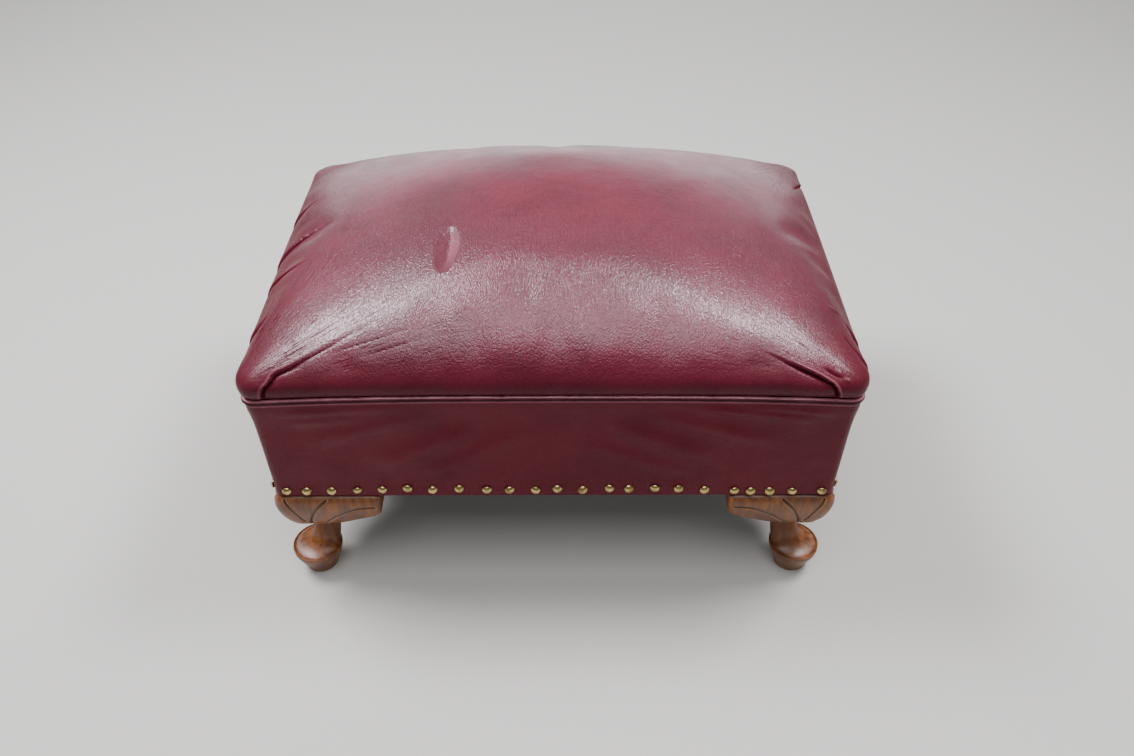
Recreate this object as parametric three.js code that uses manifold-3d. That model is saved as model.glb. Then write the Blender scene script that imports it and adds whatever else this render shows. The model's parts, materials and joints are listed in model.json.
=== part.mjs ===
// Upholstered footstool: a sprung leather seat on a hardwood frame with four carved bracket legs.
// Millimetres, +Z up. The origin is on the floor under the middle of the stool, and the front faces -Y.

import * as THREE from 'three';
import { mergeVertices } from 'three/addons/utils/BufferGeometryUtils.js';
import Module from 'manifold-3d';

const wasm = await Module();
wasm.setup();

// Frame
const FRAME_WIDTH = 576;
const FRAME_DEPTH = 393;
const RAIL_HEIGHT = 152;
const RAIL_THICKNESS = 22;
const FRAME_CORNER_RADIUS = 6;
const LEG_HEIGHT = 136;

// Gap kept between pieces that touch, and how far a cut runs past the face it opens
const CLEARANCE = 0.3;
const CUT_OVERRUN = 2;

// Dowels and corner blocks
const DOWEL_DIAMETER = 10;
const DOWEL_LENGTH = 38;
const DOWEL_DEPTH_IN_FACE = 14;
const CORNER_BLOCK_REACH = 70;
const CORNER_BLOCK_TIP = 12;
const CORNER_BLOCK_HEIGHT = 38;

// Leg fastening: how far the bolt stands from the band's two faces, and its parts
const BOLT_INSET = 42;
const BOLT_DIAMETER = 8;
const BOLT_DEPTH_IN_LEG = 34;
const BOLT_END_ABOVE_NUT = 3;
const WASHER_DIAMETER = 22;
const WASHER_THICKNESS = 1.6;
const NUT_WIDTH = 13;
const NUT_HEIGHT = 6.5;

// Webbing under the frame
const WEB_WIDTH = 50;
const WEB_THICKNESS = 1;
const WEB_OVERLAP = 10;
const WEB_PITCH_ACROSS = 120;
const WEB_PITCH_DEEP = 130;

// Hourglass springs
const SPRING_TURNS = 5.5;
const SPRING_WIRE = 3.8;
const SPRING_BOTTOM_RADIUS = 40;
const SPRING_WAIST_RADIUS = 25;
const SPRING_TOP_RADIUS = 36;
const SPRING_STAND = 26;
const SPRING_EDGE_ROOM = 8.6;

// Soft layers of the seat
const BURLAP_THICKNESS = 1;
const BURLAP_EDGE_INSET = 4;
const WADDING_THICKNESS = 5;
const LEATHER_THICKNESS = 1;
const DUST_COVER_THICKNESS = 0.6;
const DUST_COVER_INSET = 3;

// Seat: the seat line is where the welt runs, a little below the rails' tops, and the seat swells
// out and rises from there
const SEAT_LINE_DROP = 7.15;
const SEAT_LINE_DIP = 6;
const SEAT_SWELL = 10;
const SEAT_SIDE_RISE = 13.7;
const SEAT_RIM_RISE = 15;
const SEAT_RIM_INSET = 112;
const SEAT_CROWN = 63.8;
const SEAT_CORNER_RADIUS = 24;
const SEAT_CORNER_EASE = 34;
const SEAT_MARGIN = 12;
const CROWN_POWER_ACROSS = 2.1;
const CROWN_POWER_DEEP = 3.2;
const DIP_POWER = 3;

// Welt, tacking strip and border band
const WELT_DIAMETER = 5.6;
const WELT_LEATHER = 0.8;
const WELT_FLANGE_DEPTH = 12;
const STRIP_THICKNESS = 0.8;
const STRIP_HEIGHT = 9;
const BAND_STAND = 4.2;
const BAND_LIP = 11;
const BAND_BOTTOM_RADIUS = 2;
const BAND_FOLD_EASE = 9;

// Upholstery nails
const NAIL_HEAD_DIAMETER = 10.8;
const NAIL_HEAD_HEIGHT = 2.6;
const NAIL_ABOVE_EDGE = 6.5;
const NAIL_FROM_CORNER = 12;
const NAIL_PITCH = 25.4;

// Legs: the knee with its two brackets, the ankle and the pad foot
const KNEE_DROP = 52;
const KNEE_BULGE = 5;
const BRACKET_REACH = 110;
const BRACKET_THICKNESS = 26;
const BRACKET_TIP_RADIUS = 5;
const KNEE_CORNER_RADIUS = 16;
const POST_SIZE = 58;
const ANKLE_INSET = 35;
const ANKLE_RADIUS = 14.5;
const FOOT_INSET = 21.9;
const FOOT_RADIUS = 27.5;
const FOOT_BASE_RADIUS = 18;
const FOOT_RIM_HEIGHT = 32;

// Steps of the round and curved surfaces
const CORNER_STEPS = 4;
const SEAT_SIDES = { across: 6, deep: 4 };
const HIDDEN_SIDES = { across: 2, deep: 2 };
const ROUND_STEPS = 8;
const SPRING_STEPS_PER_TURN = 8;
const WIRE_SIDES = 5;
const NAIL_SIDES = 6;
const NUT_SIDES = 6;
const CORD_SIDES = 6;
const LEG_HALF_STEPS = 11;

// Heights and half sizes that follow
const halfWidth = FRAME_WIDTH / 2;
const halfDepth = FRAME_DEPTH / 2;
const dustCoverBottom = LEG_HEIGHT + CLEARANCE;
const dustCoverTop = dustCoverBottom + DUST_COVER_THICKNESS;
const weaveRise = (WEB_THICKNESS + CLEARANCE) / 2;
const railBottom = dustCoverTop + 2 * CLEARANCE + WEB_THICKNESS + weaveRise;
const railTop = railBottom + RAIL_HEIGHT;
const webMiddle = railBottom - CLEARANCE - WEB_THICKNESS / 2;
const springSeat = webMiddle + weaveRise + WEB_THICKNESS / 2 + CLEARANCE;
const plateauHeight = railTop + SPRING_STAND;
const seatLineHeight = railTop - SEAT_LINE_DROP;
const springReach = WEB_PITCH_DEEP / 2 + SPRING_TOP_RADIUS + SPRING_WIRE / 2;
const plateauReach = springReach + SPRING_EDGE_ROOM;
const bandHalfWidth = halfWidth + BAND_STAND;
const bandHalfDepth = halfDepth + BAND_STAND;
const bandBottom = railBottom - CLEARANCE - LEATHER_THICKNESS;
const seatHalfWidth = halfWidth + SEAT_SWELL;
const seatHalfDepth = halfDepth + SEAT_SWELL;

// Middle lines of the webbing strips. A spring stands on each crossing.
const acrossPlaces = [-WEB_PITCH_ACROSS, 0, WEB_PITCH_ACROSS];
const deepPlaces = [-WEB_PITCH_DEEP / 2, WEB_PITCH_DEEP / 2];

// Materials
function material(color, roughness, metalness) {
  return new THREE.MeshStandardMaterial({ color, roughness, metalness });
}

const leather = material(0x5a1c26, 0.35, 0);
const showWood = material(0x6e3c20, 0.45, 0);
const frameWood = material(0xc39a66, 0.75, 0);
const steel = material(0x8c8f92, 0.4, 0.9);
const jute = material(0xa08455, 0.9, 0);
const cotton = material(0xe2dccb, 0.95, 0);
const hair = material(0x5c5148, 0.95, 0);
const cambric = material(0x24242a, 0.9, 0);
const card = material(0xb7a683, 0.85, 0);

const model = new THREE.Group();

// Puts a finished shape into the model as a named piece.
function addPiece(name, geometry, finish, parent = model) {
  const piece = new THREE.Mesh(geometry, finish);
  piece.name = name;
  parent.add(piece);
  return piece;
}

// A shape from a list of points and a list of triangular faces.
function skin(points, faces) {
  const geometry = new THREE.BufferGeometry();
  const numbers = points.flatMap((point) => [point.x, point.y, point.z]);
  geometry.setAttribute('position', new THREE.Float32BufferAttribute(numbers, 3));
  geometry.setIndex(faces.flat());
  return geometry;
}

// A three.js shape as a manifold-3d solid, with its shared corners merged.
function toSolid(geometry) {
  const bare = geometry.clone();
  bare.deleteAttribute('normal');
  bare.deleteAttribute('uv');
  const merged = mergeVertices(bare);
  return new wasm.Manifold(new wasm.Mesh({
    numProp: 3,
    vertProperties: new Float32Array(merged.attributes.position.array),
    triVerts: new Uint32Array(merged.index.array),
  }));
}

// A manifold-3d solid as a three.js shape.
function toGeometry(solid) {
  const mesh = solid.getMesh();
  const geometry = new THREE.BufferGeometry();
  geometry.setAttribute('position', new THREE.Float32BufferAttribute(mesh.vertProperties, 3));
  geometry.setIndex(new THREE.Uint32BufferAttribute(mesh.triVerts, 1));
  return geometry;
}

// Cuts every tool out of a body.
function cut(body, tools) {
  return toGeometry(tools.reduce((solid, tool) => solid.subtract(toSolid(tool)), toSolid(body)));
}

// Joins every added shape to a body.
function join(body, added) {
  return toGeometry(added.reduce((solid, shape) => solid.add(toSolid(shape)), toSolid(body)));
}

// Skins rings that hold the same number of points. The rings run anticlockwise seen from above and
// upwards on the outside. A loop joins its last ring to its first, and otherwise both ends are capped.
// The first bands, up to the count turned, split their faces the other way, so that the inside of a
// shell lies parallel to the outside of the layer under it.
function loft(rings, cap, { loop = false, turned = 0 } = {}) {
  const count = rings[0].length;
  const faces = [];
  const bands = loop ? rings.length : rings.length - 1;
  for (let band = 0; band < bands; band += 1) {
    const low = band * count;
    const high = ((band + 1) % rings.length) * count;
    for (let step = 0; step < count; step += 1) {
      const next = (step + 1) % count;
      if (band < turned) {
        faces.push([low + step, low + next, high + step]);
        faces.push([low + next, high + next, high + step]);
      } else {
        faces.push([low + step, low + next, high + next]);
        faces.push([low + step, high + next, high + step]);
      }
    }
  }
  if (!loop) {
    const last = (rings.length - 1) * count;
    for (const [a, b, c] of cap) {
      faces.push([a, c, b]);
      faces.push([last + a, last + b, last + c]);
    }
  }
  return skin(rings.flat(), faces);
}

// A cap for a convex ring: a fan from its first point.
function fanCap(count) {
  return Array.from({ length: count - 2 }, (_, step) => [0, step + 1, step + 2]);
}

// A cap for a rounded rectangle: a ladder of faces between its back half and its front half, and a
// fan over each straight end.
function ladderCap(sides) {
  const count = 4 * CORNER_STEPS + 2 * (sides.across + sides.deep);
  const facing = (step) => (2 * count - sides.deep - step) % count;
  const lastRung = 2 * CORNER_STEPS + sides.across - 1;
  const faces = [[facing(1), facing(0), 1], [lastRung, facing(lastRung + 1), facing(lastRung)]];
  for (let step = 0; step < sides.deep; step += 1) {
    faces.push([facing(0) + step, (facing(0) + step + 1) % count, 1]);
    faces.push([lastRung, lastRung + 1 + step, lastRung + 2 + step]);
  }
  for (let rung = 1; rung < lastRung; rung += 1) {
    faces.push([rung, rung + 1, facing(rung + 1)]);
    faces.push([rung, facing(rung + 1), facing(rung)]);
  }
  return faces;
}

// A rounded rectangle as points, anticlockwise from the right side's back end. Every size has the
// same count of points, so that rectangles of different sizes can be skinned together.
function roundedRing(halfX, halfY, radius, sides) {
  const points = [];
  const corners = [[1, 1], [-1, 1], [-1, -1], [1, -1]];
  corners.forEach(([signX, signY], corner) => {
    for (let step = 0; step <= CORNER_STEPS; step += 1) {
      const angle = (corner + step / CORNER_STEPS) * Math.PI / 2;
      const x = signX * (halfX - radius) + radius * Math.cos(angle);
      const y = signY * (halfY - radius) + radius * Math.sin(angle);
      points.push(new THREE.Vector2(x, y));
    }
    const alongX = corner % 2 === 0;
    const stepCount = alongX ? sides.across : sides.deep;
    const from = points[points.length - 1];
    const straight = 2 * ((alongX ? halfX : halfY) - radius);
    const heading = new THREE.Vector2(-signX, 0);
    if (!alongX) heading.set(0, -signY);
    for (let step = 1; step < stepCount; step += 1) {
      points.push(from.clone().addScaledVector(heading, straight * step / stepCount));
    }
  });
  return points;
}

// How far the seat line dips at a place, more towards the corners.
function dipAt(x, y) {
  const towardsCorner = Math.abs(x / halfWidth) * Math.abs(y / halfDepth);
  return SEAT_LINE_DIP * Math.min(towardsCorner, 1) ** DIP_POWER;
}

// How far the filling crowns at a place, most in the middle and not at all at the widest outline.
function crownAt(x, y) {
  const across = 1 - Math.min(Math.abs(x) / seatHalfWidth, 1) ** CROWN_POWER_ACROSS;
  const deep = 1 - Math.min(Math.abs(y) / seatHalfDepth, 1) ** CROWN_POWER_DEEP;
  return SEAT_CROWN * across * deep;
}

// A ring at a distance outside the rails' faces, at one height less a share of the dip.
function ringAt(out, height, sides, dipShare = 0, radius = FRAME_CORNER_RADIUS + out) {
  return roundedRing(halfWidth + out, halfDepth + out, radius, sides).map(
    ({ x, y }) => new THREE.Vector3(x, y, height - dipShare * dipAt(x, y)),
  );
}

// Corner radius of a ring that lies inside the rails' faces, where layers ease round the corner.
function innerRadius(inset) {
  return FRAME_CORNER_RADIUS + inset / 2;
}

// The seat's section from the tacked margin to the dome. Each station has its distance outside the
// rails' faces, its height above the seat line, its corner radius and its share of the dip.
const marginOut = CLEARANCE + LEATHER_THICKNESS;
const SIDE_ANGLE_SHARES = [0.45, 0.75, 1];
const DOME_INSET_SHARES = [0.035, 0.12, 0.3, 0.56, 0.92, 1.32];

function marginStations() {
  const radius = FRAME_CORNER_RADIUS + marginOut;
  return [
    { out: marginOut, up: -SEAT_MARGIN, radius, dip: 1 },
    { out: marginOut, up: 0, radius, dip: 1 },
  ];
}

function sideStations() {
  return SIDE_ANGLE_SHARES.map((share) => {
    const angle = share * Math.PI / 2;
    const out = marginOut + (SEAT_SWELL - marginOut) * Math.sin(angle);
    const marginRadius = FRAME_CORNER_RADIUS + marginOut;
    return {
      out,
      up: SEAT_SIDE_RISE * (1 - Math.cos(angle)),
      radius: marginRadius + (SEAT_CORNER_RADIUS - marginRadius) * share,
      dip: 1 - share * share,
    };
  });
}

function domeStations() {
  return DOME_INSET_SHARES.map((share) => {
    const inset = share * SEAT_RIM_INSET;
    const outer = 1 - Math.min(share, 1);
    return {
      out: SEAT_SWELL - inset,
      up: SEAT_SIDE_RISE + SEAT_RIM_RISE * Math.sqrt(1 - outer * outer),
      radius: SEAT_CORNER_RADIUS + SEAT_CORNER_EASE * (1 - Math.exp(-inset / SEAT_RIM_INSET)),
      dip: 0,
      crowned: true,
    };
  });
}

const seatSection = [...marginStations(), ...sideStations(), ...domeStations()];

// The rings of the seat's section at a depth under its outer face, for the stations asked for.
function layerRings(depth, sides, picked) {
  return picked.map((index) => {
    const station = seatSection[index];
    const before = seatSection[Math.max(index - 1, 0)];
    const after = seatSection[Math.min(index + 1, seatSection.length - 1)];
    const along = new THREE.Vector2(after.out - before.out, after.up - before.up).normalize();
    const inwards = new THREE.Vector2(-along.y, along.x).multiplyScalar(depth);
    const outer = roundedRing(
      halfWidth + station.out,
      halfDepth + station.out,
      station.radius,
      sides,
    );
    const inner = roundedRing(
      halfWidth + station.out + inwards.x,
      halfDepth + station.out + inwards.x,
      station.radius + inwards.x,
      sides,
    );
    return inner.map(({ x, y }, point) => {
      const crown = station.crowned ? crownAt(outer[point].x, outer[point].y) : 0;
      const dip = station.dip * dipAt(outer[point].x, outer[point].y);
      return new THREE.Vector3(x, y, seatLineHeight + station.up + inwards.y + crown - dip);
    });
  });
}

const allStations = seatSection.map((_, index) => index);
const coverDepth = LEATHER_THICKNESS;
const waddingOuterDepth = coverDepth + CLEARANCE;
const waddingInnerDepth = waddingOuterDepth + WADDING_THICKNESS;
const padDepth = waddingInnerDepth + CLEARANCE;
const WADDING_STATIONS = [3, 4, 5, 6, 7, 9, 10];
const PAD_STATIONS = WADDING_STATIONS.slice(1);

// Seat cover: one leather shell from the tacked margin over the dome.
function seatCover() {
  const inner = layerRings(coverDepth, SEAT_SIDES, allStations).reverse();
  const outer = layerRings(0, SEAT_SIDES, allStations);
  return loft([...inner, ...outer], ladderCap(SEAT_SIDES), { turned: inner.length - 1 });
}

// Cotton wadding: a soft layer under the cover, down over the frame's top edge.
function cottonWadding() {
  const inner = layerRings(waddingInnerDepth, SEAT_SIDES, WADDING_STATIONS).reverse();
  const outer = layerRings(waddingOuterDepth, SEAT_SIDES, WADDING_STATIONS);
  return loft([...inner, ...outer], ladderCap(SEAT_SIDES), { turned: inner.length - 1 });
}

// Heights of the burlap's underside at the rails and over the springs, which it clears all round.
const burlapStations = [
  { out: plateauReach - halfDepth, height: plateauHeight },
  { out: -RAIL_THICKNESS, height: railTop + CLEARANCE },
  { out: -BURLAP_EDGE_INSET, height: railTop + CLEARANCE },
];

function burlapRings(lift, sides) {
  return burlapStations.map(
    ({ out, height }) => ringAt(out, height + lift, sides, 0, innerRadius(-out)),
  );
}

// Burlap: a sheet tacked on the rails' tops and stretched over the springs.
function burlap() {
  const under = burlapRings(0, HIDDEN_SIDES);
  const over = burlapRings(BURLAP_THICKNESS, HIDDEN_SIDES).reverse();
  return loft([...under, ...over], ladderCap(HIDDEN_SIDES));
}

// Stuffing pad: it lies on the burlap and fills the dome.
function stuffingPad() {
  const under = burlapRings(BURLAP_THICKNESS + CLEARANCE, SEAT_SIDES);
  const dome = layerRings(padDepth, SEAT_SIDES, PAD_STATIONS);
  return loft([...under, ...dome], ladderCap(SEAT_SIDES));
}

// Welt: leather wrapped round a cord, with a flange that is tacked to the rail under the seat line.
const weltRadius = WELT_DIAMETER / 2;
const weltMiddleOut = marginOut + CLEARANCE + weltRadius;
const weltMiddleUp = -CLEARANCE - weltRadius;
const WELT_ANGLE_SHARES = [-0.4, 0, 0.33, 0.67, 1];

function weltRing(out, up, sides) {
  return ringAt(out, seatLineHeight + up, sides, 1);
}

function weltCover() {
  const arc = (radius) => WELT_ANGLE_SHARES.map((share) => {
    const angle = share * Math.PI;
    return [weltMiddleOut + radius * Math.cos(angle), weltMiddleUp + radius * Math.sin(angle)];
  });
  const flangeEnd = (radius) => [weltMiddleOut - radius, weltMiddleUp - WELT_FLANGE_DEPTH];
  const innerRadiusOfWrap = weltRadius - WELT_LEATHER;
  const section = [
    ...arc(weltRadius),
    flangeEnd(weltRadius),
    flangeEnd(innerRadiusOfWrap),
    ...arc(innerRadiusOfWrap).reverse(),
  ];
  return loft(section.map(([out, up]) => weltRing(out, up, SEAT_SIDES)), [], { loop: true });
}

function weltCord() {
  const radius = weltRadius - WELT_LEATHER - CLEARANCE;
  const section = Array.from({ length: CORD_SIDES }, (_, step) => {
    const angle = 2 * Math.PI * step / CORD_SIDES;
    return [weltMiddleOut + radius * Math.cos(angle), weltMiddleUp + radius * Math.sin(angle)];
  });
  return loft(section.map(([out, up]) => weltRing(out, up, SEAT_SIDES)), [], { loop: true });
}

// Border band: leather folded over the tacking strip under the welt, drawn down the frame and
// turned under its bottom edge.
const bandTopUp = weltMiddleUp - weltRadius - CLEARANCE;
const backPlyOut = weltMiddleOut - weltRadius + WELT_LEATHER + CLEARANCE;
const stripOut = backPlyOut + LEATHER_THICKNESS + CLEARANCE;
const foldOut = stripOut + STRIP_THICKNESS + CLEARANCE + LEATHER_THICKNESS;
const foldUp = bandTopUp - LEATHER_THICKNESS - CLEARANCE;
const bandFootHeight = bandBottom + BAND_BOTTOM_RADIUS;

function borderBand() {
  const fixed = (out, height) => ringAt(out, height, SEAT_SIDES);
  const hung = (out, up) => weltRing(out, up, SEAT_SIDES);
  const plyOut = (out) => out - LEATHER_THICKNESS;
  const stripEnd = foldUp - STRIP_HEIGHT;
  return loft([
    fixed(-BAND_LIP, bandBottom + LEATHER_THICKNESS),
    fixed(-BAND_LIP, bandBottom),
    fixed(BAND_STAND - BAND_BOTTOM_RADIUS, bandBottom),
    fixed(BAND_STAND, bandFootHeight),
    hung(BAND_STAND, stripEnd - BAND_FOLD_EASE),
    hung(foldOut, stripEnd),
    hung(foldOut, foldUp),
    hung(plyOut(foldOut), bandTopUp),
    hung(backPlyOut, bandTopUp),
    hung(backPlyOut, stripEnd),
    hung(backPlyOut + LEATHER_THICKNESS, stripEnd),
    hung(backPlyOut + LEATHER_THICKNESS, foldUp),
    hung(plyOut(foldOut), foldUp),
    hung(plyOut(foldOut), stripEnd),
    hung(plyOut(BAND_STAND), stripEnd - BAND_FOLD_EASE),
    fixed(plyOut(BAND_STAND), bandFootHeight),
    fixed(BAND_STAND - BAND_BOTTOM_RADIUS, bandBottom + LEATHER_THICKNESS),
  ], [], { loop: true });
}

function tackingStrip() {
  const top = foldUp - CLEARANCE;
  const bottom = foldUp - STRIP_HEIGHT;
  return loft([
    weltRing(stripOut, bottom, SEAT_SIDES),
    weltRing(stripOut + STRIP_THICKNESS, bottom, SEAT_SIDES),
    weltRing(stripOut + STRIP_THICKNESS, top, SEAT_SIDES),
    weltRing(stripOut, top, SEAT_SIDES),
  ], [], { loop: true });
}

// Border wadding: a thin soft layer between the rails and the band, below the strip.
function borderWadding() {
  const out = BAND_STAND - LEATHER_THICKNESS - CLEARANCE;
  const top = foldUp - STRIP_HEIGHT - BAND_FOLD_EASE;
  return loft([
    ringAt(CLEARANCE, bandFootHeight, HIDDEN_SIDES),
    ringAt(out, bandFootHeight, HIDDEN_SIDES),
    weltRing(out, top, HIDDEN_SIDES),
    weltRing(CLEARANCE, top, HIDDEN_SIDES),
  ], [], { loop: true });
}

// One row of nail heads along a side of the band, as low domes set into the leather.
function nailRow(halfLength, faceDistance, turn) {
  const run = 2 * (halfLength - NAIL_FROM_CORNER);
  const gaps = Math.round(run / NAIL_PITCH);
  const tallness = NAIL_HEAD_HEIGHT + LEATHER_THICKNESS / 2;
  return Array.from({ length: gaps + 1 }, (_, nail) => {
    const head = new THREE.ConeGeometry(NAIL_HEAD_DIAMETER / 2, tallness, NAIL_SIDES);
    head.rotateX(Math.PI);
    const y = -faceDistance - NAIL_HEAD_HEIGHT + tallness / 2;
    head.translate(-run / 2 + run * nail / gaps, y, bandBottom + NAIL_ABOVE_EDGE);
    head.rotateZ(turn);
    return head;
  });
}

function nailHeads() {
  return [
    ...nailRow(bandHalfWidth, bandHalfDepth, 0),
    ...nailRow(bandHalfDepth, bandHalfWidth, Math.PI / 2),
    ...nailRow(bandHalfWidth, bandHalfDepth, Math.PI),
    ...nailRow(bandHalfDepth, bandHalfWidth, -Math.PI / 2),
  ];
}

// A plan outline raised to a height, with round holes through it.
function plate(outline, thickness, holes = []) {
  const shape = new THREE.Shape(outline);
  for (const { x, y, radius } of holes) shape.holes.push(circlePath(x, y, radius));
  return new THREE.ExtrudeGeometry(shape, { depth: thickness, bevelEnabled: false });
}

// A round hole as a path of straight steps, clockwise.
function circlePath(x, y, radius) {
  const points = Array.from({ length: ROUND_STEPS }, (_, step) => {
    const angle = -2 * Math.PI * step / ROUND_STEPS;
    return new THREE.Vector2(x + radius * Math.cos(angle), y + radius * Math.sin(angle));
  });
  return new THREE.Path(points);
}

// A rod along Z from its lower end, with its flats where the round holes have theirs.
function rod(radius, length) {
  const geometry = new THREE.CylinderGeometry(radius, radius, length, ROUND_STEPS);
  geometry.rotateX(Math.PI / 2);
  geometry.rotateZ(Math.PI / 2);
  geometry.translate(0, 0, length / 2);
  return geometry;
}

// Where the dowels stand: in the middle of each side rail's end, at a quarter and three quarters.
const dowelX = halfWidth - RAIL_THICKNESS / 2;
const dowelHeights = [railBottom + RAIL_HEIGHT / 4, railTop - RAIL_HEIGHT / 4];
const faceJoint = halfDepth - RAIL_THICKNESS;
const dowelFront = faceJoint + DOWEL_DEPTH_IN_FACE - CLEARANCE;

// A blind hole for each dowel of one corner, in the frame's own place.
function dowelHoles(signX, signY) {
  const length = DOWEL_LENGTH + 2 * CLEARANCE;
  return dowelHeights.map((height) => {
    const hole = rod(DOWEL_DIAMETER / 2 + CLEARANCE, length);
    hole.rotateX(Math.PI / 2);
    const start = dowelFront + CLEARANCE;
    hole.translate(signX * dowelX, signY > 0 ? start : -start + length, height);
    return hole;
  });
}

// Front and back rails: full width, with eased outer corners and blind dowel holes.
function longRail() {
  const ring = roundedRing(halfWidth, halfDepth, FRAME_CORNER_RADIUS, { across: 1, deep: 1 });
  const front = ring.filter(({ y }) => y < -faceJoint);
  front.push(new THREE.Vector2(halfWidth, -faceJoint));
  front.push(new THREE.Vector2(-halfWidth, -faceJoint));
  const blank = plate(front, RAIL_HEIGHT);
  blank.translate(0, 0, railBottom);
  return cut(blank, [...dowelHoles(-1, -1), ...dowelHoles(1, -1)]);
}

// Side rails: between the front and back rails, with blind dowel holes in their ends.
function sideRail() {
  const length = 2 * (faceJoint - CLEARANCE);
  const blank = new THREE.BoxGeometry(RAIL_THICKNESS, length, RAIL_HEIGHT);
  blank.translate(dowelX, 0, railBottom + RAIL_HEIGHT / 2);
  return cut(blank, [...dowelHoles(1, -1), ...dowelHoles(1, 1)]);
}

function addFrame() {
  addPiece('front_rail', longRail(), frameWood);
  addPiece('back_rail', longRail(), frameWood).rotation.z = Math.PI;
  addPiece('right_rail', sideRail(), frameWood);
  addPiece('left_rail', sideRail(), frameWood).rotation.z = Math.PI;
  for (const [sideName, signX] of [['left', -1], ['right', 1]]) {
    for (const [endName, signY] of [['front', -1], ['back', 1]]) {
      dowelHeights.forEach((height, level) => {
        const dowel = rod(DOWEL_DIAMETER / 2, DOWEL_LENGTH);
        dowel.rotateX(Math.PI / 2);
        const name = `dowel_${endName}_${sideName}_${['lower', 'upper'][level]}`;
        const piece = addPiece(name, dowel, frameWood);
        const y = signY > 0 ? dowelFront : -dowelFront + DOWEL_LENGTH;
        piece.position.set(signX * dowelX, y, height);
      });
    }
  }
}

// Where the bracket's straight face is divided, between its corner and its tip.
const BRACKET_FACE_SHARES = [1 / 3, 2 / 3];

// The leg's outline at one level, seen from above, in the corner's own place: x and y run inwards
// from the band's two faces. Half of it is listed and the other half is its mirror image.
function bracketHalf({ out, reach }) {
  const face = -out;
  const middle = KNEE_CORNER_RADIUS - out;
  const onArc = (turn) => [
    middle - KNEE_CORNER_RADIUS * Math.sin(turn),
    middle - KNEE_CORNER_RADIUS * Math.cos(turn),
  ];
  const tipStart = reach - BRACKET_TIP_RADIUS;
  const along = (share) => middle + (tipStart - middle) * share;
  return [
    onArc(Math.PI / 4),
    onArc(Math.PI / 8),
    [middle, face],
    ...BRACKET_FACE_SHARES.map((share) => [along(share), face]),
    [tipStart, face],
    [reach, face + BRACKET_TIP_RADIUS],
    [reach, BRACKET_THICKNESS],
    [(reach + POST_SIZE) / 2, BRACKET_THICKNESS],
    [POST_SIZE, BRACKET_THICKNESS],
    [POST_SIZE, (BRACKET_THICKNESS + POST_SIZE) / 2],
    [POST_SIZE, POST_SIZE],
  ];
}

function mirrored(half) {
  const back = half.slice(1, -1).reverse().map(([x, y]) => [y, x]);
  return [...half, ...back];
}

function circleHalf(inset, radius) {
  return Array.from({ length: LEG_HALF_STEPS + 1 }, (_, step) => {
    const angle = Math.PI * (step / LEG_HALF_STEPS - 3 / 4);
    return [inset + radius * Math.cos(angle), inset + radius * Math.sin(angle)];
  });
}

// Levels of the knee, from the top: share of the knee's drop, of its bulge and of the bracket.
const KNEE_LEVEL_SHARES = [
  [0, 0.2, 1],
  [0.12, 0.75, 1],
  [0.28, 1, 1],
  [0.42, 0.9, 0.98],
  [0.52, 0.72, 0.93],
  [0.66, 0.4, 0.62],
  [0.8, -0.1, 0.34],
  [0.92, -0.7, 0.12],
  [1, -1.5, 0.04],
];

// Levels of the ankle: height share between the foot's rim and the knee, inset share and radius
// share between the foot's and the ankle's.
const ANKLE_LEVEL_SHARES = [
  [0.94, 1, 0.45],
  [0.82, 1.05, 0.8],
  [0.6, 1, 0.98],
  [0.36, 0.95, 1],
  [0.18, 0.8, 0.92],
  [0.06, 0.52, 0.7],
  [0, 0.28, 0.4],
  [-0.012, 0.08, 0.15],
];

// Levels of the pad foot: height share of its rim's height and radius share of its rim's radius,
// from the base up.
const FOOT_LEVEL_SHARES = [
  [0.4, 0.8],
  [0.75, 0.95],
  [0.94, 1],
  [1.02, 0.98],
];

function legRings() {
  const kneeBottom = LEG_HEIGHT - KNEE_DROP;
  const lift = (outline, height) => outline.map(([x, y]) => new THREE.Vector3(x, y, height));
  const knee = KNEE_LEVEL_SHARES.map(([drop, bulge, reach]) => lift(
    mirrored(bracketHalf({
      out: bulge * KNEE_BULGE,
      reach: POST_SIZE + reach * (BRACKET_REACH - POST_SIZE),
    })),
    LEG_HEIGHT - drop * KNEE_DROP,
  ));
  const ankle = ANKLE_LEVEL_SHARES.map(([rise, insetShare, thin]) => lift(
    mirrored(circleHalf(
      FOOT_INSET + insetShare * (ANKLE_INSET - FOOT_INSET),
      FOOT_RADIUS + thin * (ANKLE_RADIUS - FOOT_RADIUS),
    )),
    FOOT_RIM_HEIGHT + rise * (kneeBottom - FOOT_RIM_HEIGHT),
  ));
  const foot = FOOT_LEVEL_SHARES.map(([rise, wide]) => lift(
    mirrored(circleHalf(FOOT_INSET, wide * FOOT_RADIUS)),
    rise * FOOT_RIM_HEIGHT,
  ));
  const base = lift(mirrored(circleHalf(FOOT_INSET, FOOT_BASE_RADIUS)), 0);
  return [base, ...foot, ...ankle.reverse(), ...knee.reverse()];
}

// A leg carved from one block: brackets, knee, ankle and pad foot, bored for its hanger bolt.
function leg() {
  const rings = legRings();
  const body = loft(rings, fanCap(rings[0].length));
  const boreDepth = BOLT_DEPTH_IN_LEG + CLEARANCE;
  const bore = rod(BOLT_DIAMETER / 2 + CLEARANCE, boreDepth + CUT_OVERRUN);
  bore.translate(BOLT_INSET, BOLT_INSET, LEG_HEIGHT - boreDepth);
  return cut(body, [bore]);
}

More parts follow.
